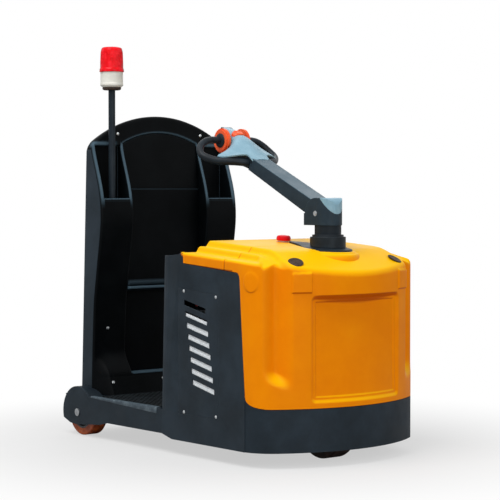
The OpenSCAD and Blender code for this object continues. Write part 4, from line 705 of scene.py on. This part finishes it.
gasket = rounded([(14.2, 0.4), (33, 0.4), (38, 4), (38, 11.9), (14.2, 11.9), (14.2, 0.4)], [1, 2, 2, 1])
lathe("beacon_gasket", gasket, "cover_brown", "tractor", mast_top, round_rows=True, slot="black_plastic")

# Fleece behind each side's seven lower vents, quilted: two crossed waves of a few tenths of a millimetre.
u, v = np.meshgrid(linspace(0, 1, 60), linspace(0, 1, 90))
fx = 152 + 230 * u
fz = 226 + (543 - 28 / 132 * (fx - 183) - 226) * v
fy = 395.4 + 0.5 * sin(fx / 4) * sin(fz / 5)
for name, hand in (("right_vent_fleece", -1), ("left_vent_fleece", 1)):
    skin(name, stack([fx, hand * fy, fz], -1), "filter_fleece", "tractor", wall=1.6, slot="white_plastic", **OPEN)

# ---------------------------------------------------------------- tiller head

PIVOT_X, PIVOT_Z, ARM_RISE = 533, 916, math.radians(25)  # the arm's pivot, and its slope at rest


def arm_frame(u, v, w):
    """From along, above and across the arm to the truck's own frame: turned by the arm's slope about the pivot."""
    c, s = math.cos(ARM_RISE), math.sin(ARM_RISE)
    u, v, w = np.broadcast_arrays(u, v, w)
    return stack([PIVOT_X - u * c + v * s, w, PIVOT_Z + u * s + v * c], -1)


def spline(points, count):
    """A smooth curve through the points: each span is the cubic through its ends with slopes from their neighbours."""
    points = np.asarray(points, float)
    span = concatenate([2 * points[:1] - points[1:2], points, 2 * points[-1:] - points[-2:-1]])
    t = linspace(0, len(points) - 1 - 1e-9, count)
    i = t.astype(int)
    t = (t - i)[:, None]
    a, b, c, d = span[i], span[i + 1], span[i + 2], span[i + 3]
    return 0.5 * (2 * b + (c - a) * t + (2 * a - 5 * b + 4 * c - d) * t**2 + (3 * b - a - 3 * c + d) * t**3)


# Half outline of the head, from the arm round the wing to the nose: along, above, across, the ridge's along, fullness.
OUTLINE = [
    (425, 26, 0, 425, 3), (425, 26, 20, 425, 3), (425, 25, 39, 425, 3), (429, 25, 43, 429, 3), (440, 28, 44, 438, 3),
    (452, 31, 45, 448, 2.6), (462, 33, 50, 456, 2.2), (468, 31, 65, 464, 1.7), (475, 25, 90, 474, 1.4),
    (485, 17, 111, 484, 1.25), (498, 8, 129, 494, 1.2), (510, 3, 141, 504, 1.2), (521, 1, 143, 514, 1.2),
    (530, 3, 130, 524, 1.3), (540, 8, 104, 536, 1.6), (556, 14, 72, 552, 2.4), (572, 20, 50, 570, 3.4),
    (586, 23, 40, 586, 3.4), (610, 25, 38, 610, 4), (640, 27, 37, 640, 4), (668, 29, 35, 668, 4), (688, 31, 33, 686, 4),
    (696, 33, 26, 693, 4), (698, 33, 14, 695, 4), (698, 33, 0, 695, 4),
]
RIDGE = (
    (425, 30), (430, 31), (452, 35), (473, 41), (499, 50), (530, 58), (573, 62), (600, 61), (650, 58), (680, 54),
    (690, 50), (695, 45),
)


def head_half(rim, low, spread=1):
    """Rows from the ridge out to the rim, under it and back to the middle.

    The crown falls as a power of the way out, and the underside to the line low as a power of the way back.
    """
    chain = spline(OUTLINE, 150)
    u, v, w, mid, full = (chain * (1, 1, spread, 1, 1)).T
    out_row = sin(linspace(0, 1, 18) * math.pi / 2)[:, None]
    top = interp(mid, *zip(*RIDGE))
    crown = stack([mid + (u - mid) * out_row, top + (v - top) * out_row**full, w * out_row], -1)
    back = linspace(1, 0, 12)[:, None]
    base = minimum(interp(mid, *low), v - rim)
    level = (v - rim) + (base - v + rim) * (1 - back**1.6)
    under = stack([mid + (u - mid) * back, level, w * back], -1)
    return crown, under


def both_halves(name, grid, finish_name, **more):
    """A half grid in the arm's frame and its mirror across the middle, welded into one closed piece."""
    half_points = arm_frame(*np.moveaxis(grid, -1, 0)).reshape(-1, 3)
    quads = quads_of(*grid.shape[:2])
    points = concatenate([half_points, half_points * (1, -1, 1)])
    quads = concatenate([quads, quads[:, ::-1] + len(half_points)])
    return piece(name, points, quads, finish_name, "tiller", **more)


crown, under = head_half(5, ((425, 700), (20, 26)))
both_halves("head_top_shell", concatenate([crown, under]), "head_plastic", stands_for=("head_shell",), sharp=50)
belly = ((425, 445, 470, 500, 530, 560, 640, 698), (-40, -40, -34, -29, -24, -19, -9, 8))
crown, under = head_half(18, belly, 0.985)
crown[..., 1] -= 6
both_halves("head_underbody", concatenate([crown, under]), "grip_black", sharp=50, slot="black_plastic")


def sweep(name, path, radius, finish_name, **more):
    """A round section carried along a path on the arm: its ring stands square to the path, and both ends close."""
    ahead = np.gradient(path, axis=0)
    ahead /= norm(ahead, axis=1, keepdims=True)
    first = np.cross(ahead, (0.13, 0.2, 0.97))
    first /= norm(first, axis=1, keepdims=True)
    second = np.cross(ahead, first)
    turn = linspace(0, 2 * math.pi, 16, endpoint=False)[None, :, None]
    ring = cos(turn) * first[:, None] + sin(turn) * second[:, None]
    grid = path[:, None] + ring * radius[:, None, None]
    return skin(name, closed(grid), finish_name, "tiller", **more)


# Hand loops: along, above and across the arm, from the thumb wheel round the outside to the head's neck.
LOOP = [
    (628, 19, 58), (630, 20, 84), (631, 19, 104), (629, 16, 124), (624, 9, 144), (615, 1, 160), (600, -8, 173),
    (582, -14, 180), (564, -18, 181), (546, -20, 173), (529, -20, 159), (513, -17, 143), (498, -12, 126),
    (485, -7, 108), (475, -3, 89), (467, -1, 70), (461, 0, 52), (458, 0, 34),
]
LOOP_STEPS = 110
line = spline(LOOP, LOOP_STEPS)
thick = 14 + 1.5 * smooth(40, 70, arange(LOOP_STEPS))
for name, hand in (("left_hand_loop", 1), ("right_hand_loop", -1)):
    route = arm_frame(line[:, 0], line[:, 1], hand * line[:, 2])
    made = sweep(name, route, thick, "grip_black", slot="black_plastic")
    if hand > 0:
        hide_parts("hand_loops")

# Black hub caps over the thumb wheels, where the grip loops come out.
axle = arm_frame(628, 19, 0)
cap = rounded([(12, 60.5), (29, 60.5), (27, 64), (18, 67), (12, 68)], [0.8, 2, 2])
for name, hand in (("right_hub_cap", -1), ("left_hub_cap", 1)):
    lathe(name, concatenate([cap, cap[:1]]), "grip_black", "tiller", axle, (0, hand, 0), slot="black_plastic")

# Horn switch: a rounded oblong, superelliptic in plan, that follows the head's crown a few millimetres above it.
ring = linspace(0, 2 * math.pi, 72, endpoint=False)[None]
out_row = array([0, 0.2, 0.4, 0.6, 0.75, 0.86, 0.93, 0.97, 0.99, 1, 1, 0.9, 0.5, 0])[:, None]
lift_row = array([6.4, 6.4, 6.3, 6, 5.6, 5, 4.2, 3, 1.6, 0, -1.2, -2, -2, -2])[:, None]
su = 602 + 15 * out_row * np.sign(cos(ring)) * abs(cos(ring)) ** 0.6
sw = 29 * out_row * np.sign(sin(ring)) * abs(sin(ring)) ** 0.6
sv = 61 - 37 * (abs(sw) / 39) ** 4 + lift_row + 3 * smooth(604, 616, su) * (lift_row > 0)
grid = arm_frame(su, sv, sw)
skin("horn_switch", grid, "orange_plastic", "horn_button", stands_for=("horn_button",))

# CAD nodes that only have their edges eased.
for name, width in (
    ("tiller_arm", 4), ("steering_yoke", 2), ("yoke_cap", 1.6), ("left_thumb_wheel", 2), ("right_thumb_wheel", 2),
    ("hitch_jaw", 1.5), ("front_skirt", 1.5), ("left_side_plate", 1.2), ("right_side_plate", 1.2),
):
    eased(name, width)
eased("steering_collar", 1.2).data.materials[0] = FINISHES["grip_black"]

# ---------------------------------------------------------------- backrest

BACK_REAR, BACK_HALF, BACK_FOOT = -579, 352, 165  # its rear, half width and height at the foot
CREST_Z, CREST = 758, 552  # the top's arc: its centre's height, and its radius
ARCH_Z, ARCH = 821, 420  # the arc over the sunk middle
MIDDLE_HALF, MIDDLE_FOOT = 190, 592  # the sunk middle's half width and lower edge
KICK_FOOT, KICK_TOP = 250, 586  # the kick space under it
POCKET_IN, POCKET_OUT, POCKET_FOOT, POCKET_TOP = 205, 330, 968, 1184  # the pockets, across and up
BEND = 1004  # the height where the middle starts to lean back
# The bolsters' depth up the backrest, as shares of its height and of 145 mm.
SHARES = (
    (0, 0.52), (0.18, 0.57), (0.341, 0.64), (0.44, 0.77), (0.544, 0.91), (0.59, 0.97), (0.632, 1), (0.68, 0.98),
    (0.729, 0.91), (0.775, 0.79), (0.816, 0.67), (0.875, 0.5), (0.93, 0.44), (1, 0.42),
)


def lean_back(z):
    """How far the backrest's middle has leant back at a height: a straight slope from the bend up."""
    return 26 * clip((z - BEND) / 237, 0, 2)


def back_front(y, z):
    """Front of the moulded backrest: side bolsters, with the middle, the kick space and two pockets sunk into them.

    Each sunk place is where its signed gap is negative; outside it the bolster's edge is rounded by its gap.
    """
    across = abs(y)
    fine = linspace(0, 1, 240)
    soft = np.convolve(np.pad(interp(fine, *zip(*SHARES)), 8, "edge"), np.ones(17) / 17, "valid")
    front = BACK_REAR + 145 * interp((z - BACK_FOOT) / 1145, fine, soft)
    rim = minimum(BACK_HALF - across, where(z > CREST_Z, CREST - hypot(y, z - CREST_Z), 99))
    below_arch = where(z > ARCH_Z, hypot(y, z - ARCH_Z) - ARCH, -99)
    middle = maximum(maximum(across - MIDDLE_HALF, MIDDLE_FOOT - z), below_arch)
    kick = maximum(maximum(across - MIDDLE_HALF, KICK_FOOT - z), z - KICK_TOP)
    pocket = maximum(POCKET_IN - across, across - POCKET_OUT)
    pocket = maximum(pocket, maximum(POCKET_FOOT - z, z - POCKET_TOP))
    toe = -446 + 29 * (240 - minimum(z, 240)) / 75
    front = front + (toe - front) * smooth(345, 236, z) * smooth(349, 300, across)
    front = front - edge_drop(rim, 12) - edge_drop(minimum(middle, where(z < KICK_FOOT, 99, kick)), 7.4)
    front = front - edge_drop(pocket, 7.4)
    front = where(middle < 0, -501 - lean_back(z), front)
    front = where(kick < 0, -521, front)
    return where(pocket < 0, -529, front)


NEAR = array([0.15, 0.9, 2, 3.6, 5.4, 7.3])  # how far from an edge the grid lines beside it run


def both_sides_of(edge, steps=NEAR):
    """Grid lines close on both sides of an edge."""
    return concatenate([edge - steps[::-1], edge + steps])


def paint_highlight(made, amount):
    """Stores each vertex's painted highlight value, which the formula amount gives from all the places in mm at once.
    """
    worn = amount(*(read(made.data.vertices, "co").T / MM))
    made.data.attributes.new("worn", "FLOAT", "POINT").data.foreach_set("value", worn.astype(np.float32))


def shell_highlight(x, y, z):
    """Where the moulding's front gets a painted highlight: the pockets' walls and ledge, a band in the arch, the kick
    line.
    """
    across = abs(y)
    side_gap = maximum(POCKET_IN - across, across - POCKET_OUT)
    arch_gap = where(z > ARCH_Z, hypot(y, z - ARCH_Z) - ARCH, across - MIDDLE_HALF)
    kick_gap = maximum(across - MIDDLE_HALF, KICK_FOOT - z)
    wall_top = smooth(20, 12, side_gap) * smooth(0, 2.2, side_gap) * smooth(930, 985, z) * smooth(1201, 1190, z)
    ledge = smooth(0, 2.2, z - POCKET_TOP) * smooth(1204, 1196, z) * smooth(212, 250, across)
    worn = maximum(0.95 * wall_top * smooth(190, 192, across), 0.8 * ledge)
    worn = maximum(worn, 0.85 * smooth(8, 4, abs(arch_gap)) * smooth(1178, 1200, z) * (across < 194))
    worn = maximum(worn, 0.7 * smooth(5, 2, abs(kick_gap)) * (z < 262) * (across < 186))
    return worn * (abs(x - back_front(y, z)) < 0.5)


def middle_highlight(x, y, z):
    """Where the middle panel gets a painted highlight: the two rolls along its foot and the seam."""
    rolls = 0.85 * smooth(593.5, 596, z) * smooth(607, 605, z) + 0.28 * smooth(609, 611, z) * smooth(630, 628, z)
    return maximum(rolls, 0.3 * smooth(1.6, 0.8, abs(z - PANEL_SEAM)))


def lip_highlight(x, y, z):
    """Where a pocket's lip gets a painted highlight: its top edge."""
    return 0.9 * smooth(957, 965, z)


half_y = np.unique(concatenate([
    linspace(0, 178, 12), both_sides_of(MIDDLE_HALF), both_sides_of(POCKET_IN), linspace(219, 300, 6),
    both_sides_of(310), both_sides_of(POCKET_OUT), [340, 342, 344.5, 347, 349, 350.5, 351.5, 352],
]))
y = concatenate([-half_y[::-1][:-1], half_y])
across = abs(y)
crest = CREST_Z + sqrt(CREST**2 - y**2) - edge_drop(BACK_HALF - across, 26)
arch = interp(across, (MIDDLE_HALF, POCKET_IN), (1195.6, POCKET_TOP))
arch = where(across < MIDDLE_HALF, ARCH_Z + sqrt(ARCH**2 - minimum(across, MIDDLE_HALF) ** 2), arch)
arch = minimum(arch, crest - 14)
room = clip((crest - arch) / 34, 0.1, 1)
plain = np.unique(concatenate([
    [165, 180, 196, 212, 224], both_sides_of(240), both_sides_of(KICK_FOOT), linspace(266, 570, 24),
    both_sides_of(KICK_TOP, NEAR[:2]), both_sides_of(MIDDLE_FOOT), linspace(608, 955, 26), both_sides_of(POCKET_FOOT),
    linspace(980, BEND, 3),
]))
rows = [np.full_like(y, z) for z in plain]
rows += [BEND + t * (arch - 12 - BEND) for t in linspace(0, 1, 14)[1:]]
rows += [arch - o for o in NEAR[::-1]] + [arch + o * room for o in (*NEAR, 12)]
low_line, high_line = arch + 12 * room, crest - 12 * room
rows += [low_line + t * (high_line - low_line) for t in linspace(0, 1, 7)[1:-1]]
rows += [crest - o * room for o in (12, 9, 6.5, 4.5, 3, 1.8, 0.8, 0.2, 0)]
z = array(rows)
y = np.broadcast_to(y, z.shape)
grid = slab(back_front(y, z), BACK_REAR + maximum(z - BACK_FOOT, 0) * 0.0393, y, z)
made = skin("backrest_moulding", grid, "black_plastic", "tractor", stands_for=("backrest_shell",), sharp=46)
made.data.materials.append(FINISHES["shell_side"])
paint_highlight(made, shell_highlight)
# The outer side faces take the paler side finish: painted light for the light falling on that side.
faces = made.data.polygons
outer = (abs(read(faces, "normal")[:, 1]) > 0.8) & (abs(read(faces, "center")[:, 1] / MM) > 350.5)
faces.foreach_set("material_index", outer.astype(np.int32))

# The moulded middle panel: a rounded edge all round, a fine seam at two thirds, and a double roll along its foot.
PANEL_HALF, PANEL_FOOT, PANEL_SEAM = 189.5, 592.5, 1007
rim_y = array([185, 187.3, 188.6, 189.3, 189.5])
y = concatenate([-rim_y[::-1], linspace(-180, 180, 41), rim_y])
crest = ARCH_Z + sqrt(419.5**2 - y**2)
rows = [np.full_like(y, z) for z in concatenate([
    [592.5, 593, 594.2, 596, 598.5, 601, 603.5, 605.5, 606.8, 607.6, 608.4, 609.2, 610.4, 612.5, 616, 620, 624, 627],
    [629, 630, 632, 640], linspace(670, 1002, 12), [1004.8, 1005.8, 1006.5, 1007, 1007.5, 1008.2, 1009.2],
])]
rows += [1009.2 + t * (crest - 8 - 1009.2) for t in linspace(0, 1, 12)[1:]]
rows += [crest - o for o in (6, 4.2, 2.6, 1.4, 0.5, 0)]
z = array(rows)
y = np.broadcast_to(y, z.shape)
gap = minimum(minimum(PANEL_HALF - abs(y), crest - z), z - PANEL_FOOT)
pad_front = -494 - lean_back(z) - edge_drop(gap, 5) - 1.3 * np.exp(-(((z - PANEL_SEAM) / 0.9) ** 2))
low_roll = 21 + 8.5 * sqrt(clip(1 - ((z - 599.8) / 7.3) ** 2, 0, 1))
high_roll = 15 + 7.5 * sqrt(clip(1 - ((z - 619.3) / 10.6) ** 2, 0, 1))
roll = where(z < 607.4, low_roll, where(z < 608.8, 12, where(z < 630, high_roll, 0)))
roll = maximum(roll - 0.6 * edge_drop(PANEL_HALF - abs(y), 9), 0)
grid = slab(pad_front + where(z < 630, roll, 0), -499.5 - lean_back(z), y, z)
made = skin("middle_panel", grid, "black_plastic", "tractor", stands_for=("back_panel",), sharp=50)
paint_highlight(made, middle_highlight)

# Lips in front of the two pockets' wells, following the bolster's own front. Each ring runs round the lip in plan.
z = concatenate([[896], linspace(900, 958, 5), [962, 965, 967, 968]])
rolled = concatenate([np.zeros(6), [1, 2.5, 5, 7]])
x_in = np.full(len(z), -449)
x_out = back_front(np.full(len(z), 267), minimum(z, 955)) - 0.3 - rolled
ring = stack([x_in, x_out, x_out, x_out, x_in, x_in], 1)
ring_y = array([204, 204, 267, 331, 331, 267])
for name, hand in (("right_pocket_lip", -1), ("left_pocket_lip", 1)):
    grid = stack([ring, np.broadcast_to(hand * ring_y, ring.shape), np.broadcast_to(z[:, None], ring.shape)], -1)
    made = skin(name, closed(grid), "black_plastic", "tractor", sharp=30)
    paint_highlight(made, lip_highlight)

# Edge strip along both sides of the platform, in rubbed powder coat: it wraps over the edge, deeper towards the front.
# Its section's points are across, height and share of that depth.
STATIONS = 24
station = linspace(0, 1, STATIONS)[:, None]
x = -448 + 450 * station
deep = 3 + 19 * station
section = array([
    (377, 163.5, 0), (377, 168.4, 0), (378.6, 169.3, 0), (394, 169.2, 0), (396.4, 168.3, 0), (397.2, 166.5, 0),
    (397.2, 167, 1), (396.7, 166.2, 1), (396.1, 166.6, 1), (396.1, 163.5, 0),
])
for name, hand in (("right_platform_strip", -1), ("left_platform_strip", 1)):
    across = np.broadcast_to(hand * section[:, 0], (STATIONS, len(section)))
    grid = stack([np.broadcast_to(x, across.shape), across, section[:, 1] - section[:, 2] * deep], -1)
    skin(name, closed(grid), "rubbed_slate", "tractor", slot="body_paint", sharp=60)

# ---------------------------------------------------------------- floor and end

# Painted studio floor: a pale matt disc that fades to the white backdrop further out.
made, tree, shader, place = new_finish("studio_floor")
shader.inputs["Roughness"].default_value = 0.8
shader.inputs["Specular IOR Level"].default_value = 0.1
dust = node(tree, "ShaderNodeTexNoise", {"Scale": 3, "Detail": 3}, {"Vector": place})
greys = {"data_type": "RGBA", 6: (0.54, 0.54, 0.54, 1), 7: (0.58, 0.58, 0.58, 1)}
tone = node(tree, "ShaderNodeMix", greys, {0: dust.outputs[0]})
tree.links.new(tone.outputs[2], shader.inputs["Base Color"])
far = node(tree, "ShaderNodeVectorMath", {"operation": "LENGTH"}, {0: place}).outputs["Value"]
fade = {"interpolation_type": "SMOOTHSTEP", "From Min": 0.5, "From Max": 1.8, "To Min": 0.55}
blend = node(tree, "ShaderNodeMapRange", fade, {0: far}).outputs[0]
camera_ray = node(tree, "ShaderNodeLightPath").outputs["Is Camera Ray"]
amount = node(tree, "ShaderNodeMath", {"operation": "MULTIPLY"}, {0: blend, 1: camera_ray}).outputs[0]
glow = node(tree, "ShaderNodeEmission", {"Color": (1, 1, 1, 1)})
mix = node(tree, "ShaderNodeMixShader", (), {0: amount, 1: shader.outputs[0], 2: glow.outputs[0]})
out_node = next(n for n in tree.nodes if n.bl_idname == "ShaderNodeOutputMaterial")
tree.links.new(mix.outputs[0], out_node.inputs[0])
ground = bpy.data.meshes.new("floor")
corners = [(x, y, -0.0005) for x, y in ((-30, -30), (30, -30), (30, 30), (-30, 30))]
ground.from_pydata(corners, [], [(0, 1, 2, 3)])
ground.materials.append(made)
floor = bpy.data.objects.new("floor", ground)
scene.collection.objects.link(floor)

bpy.context.view_layer.update()
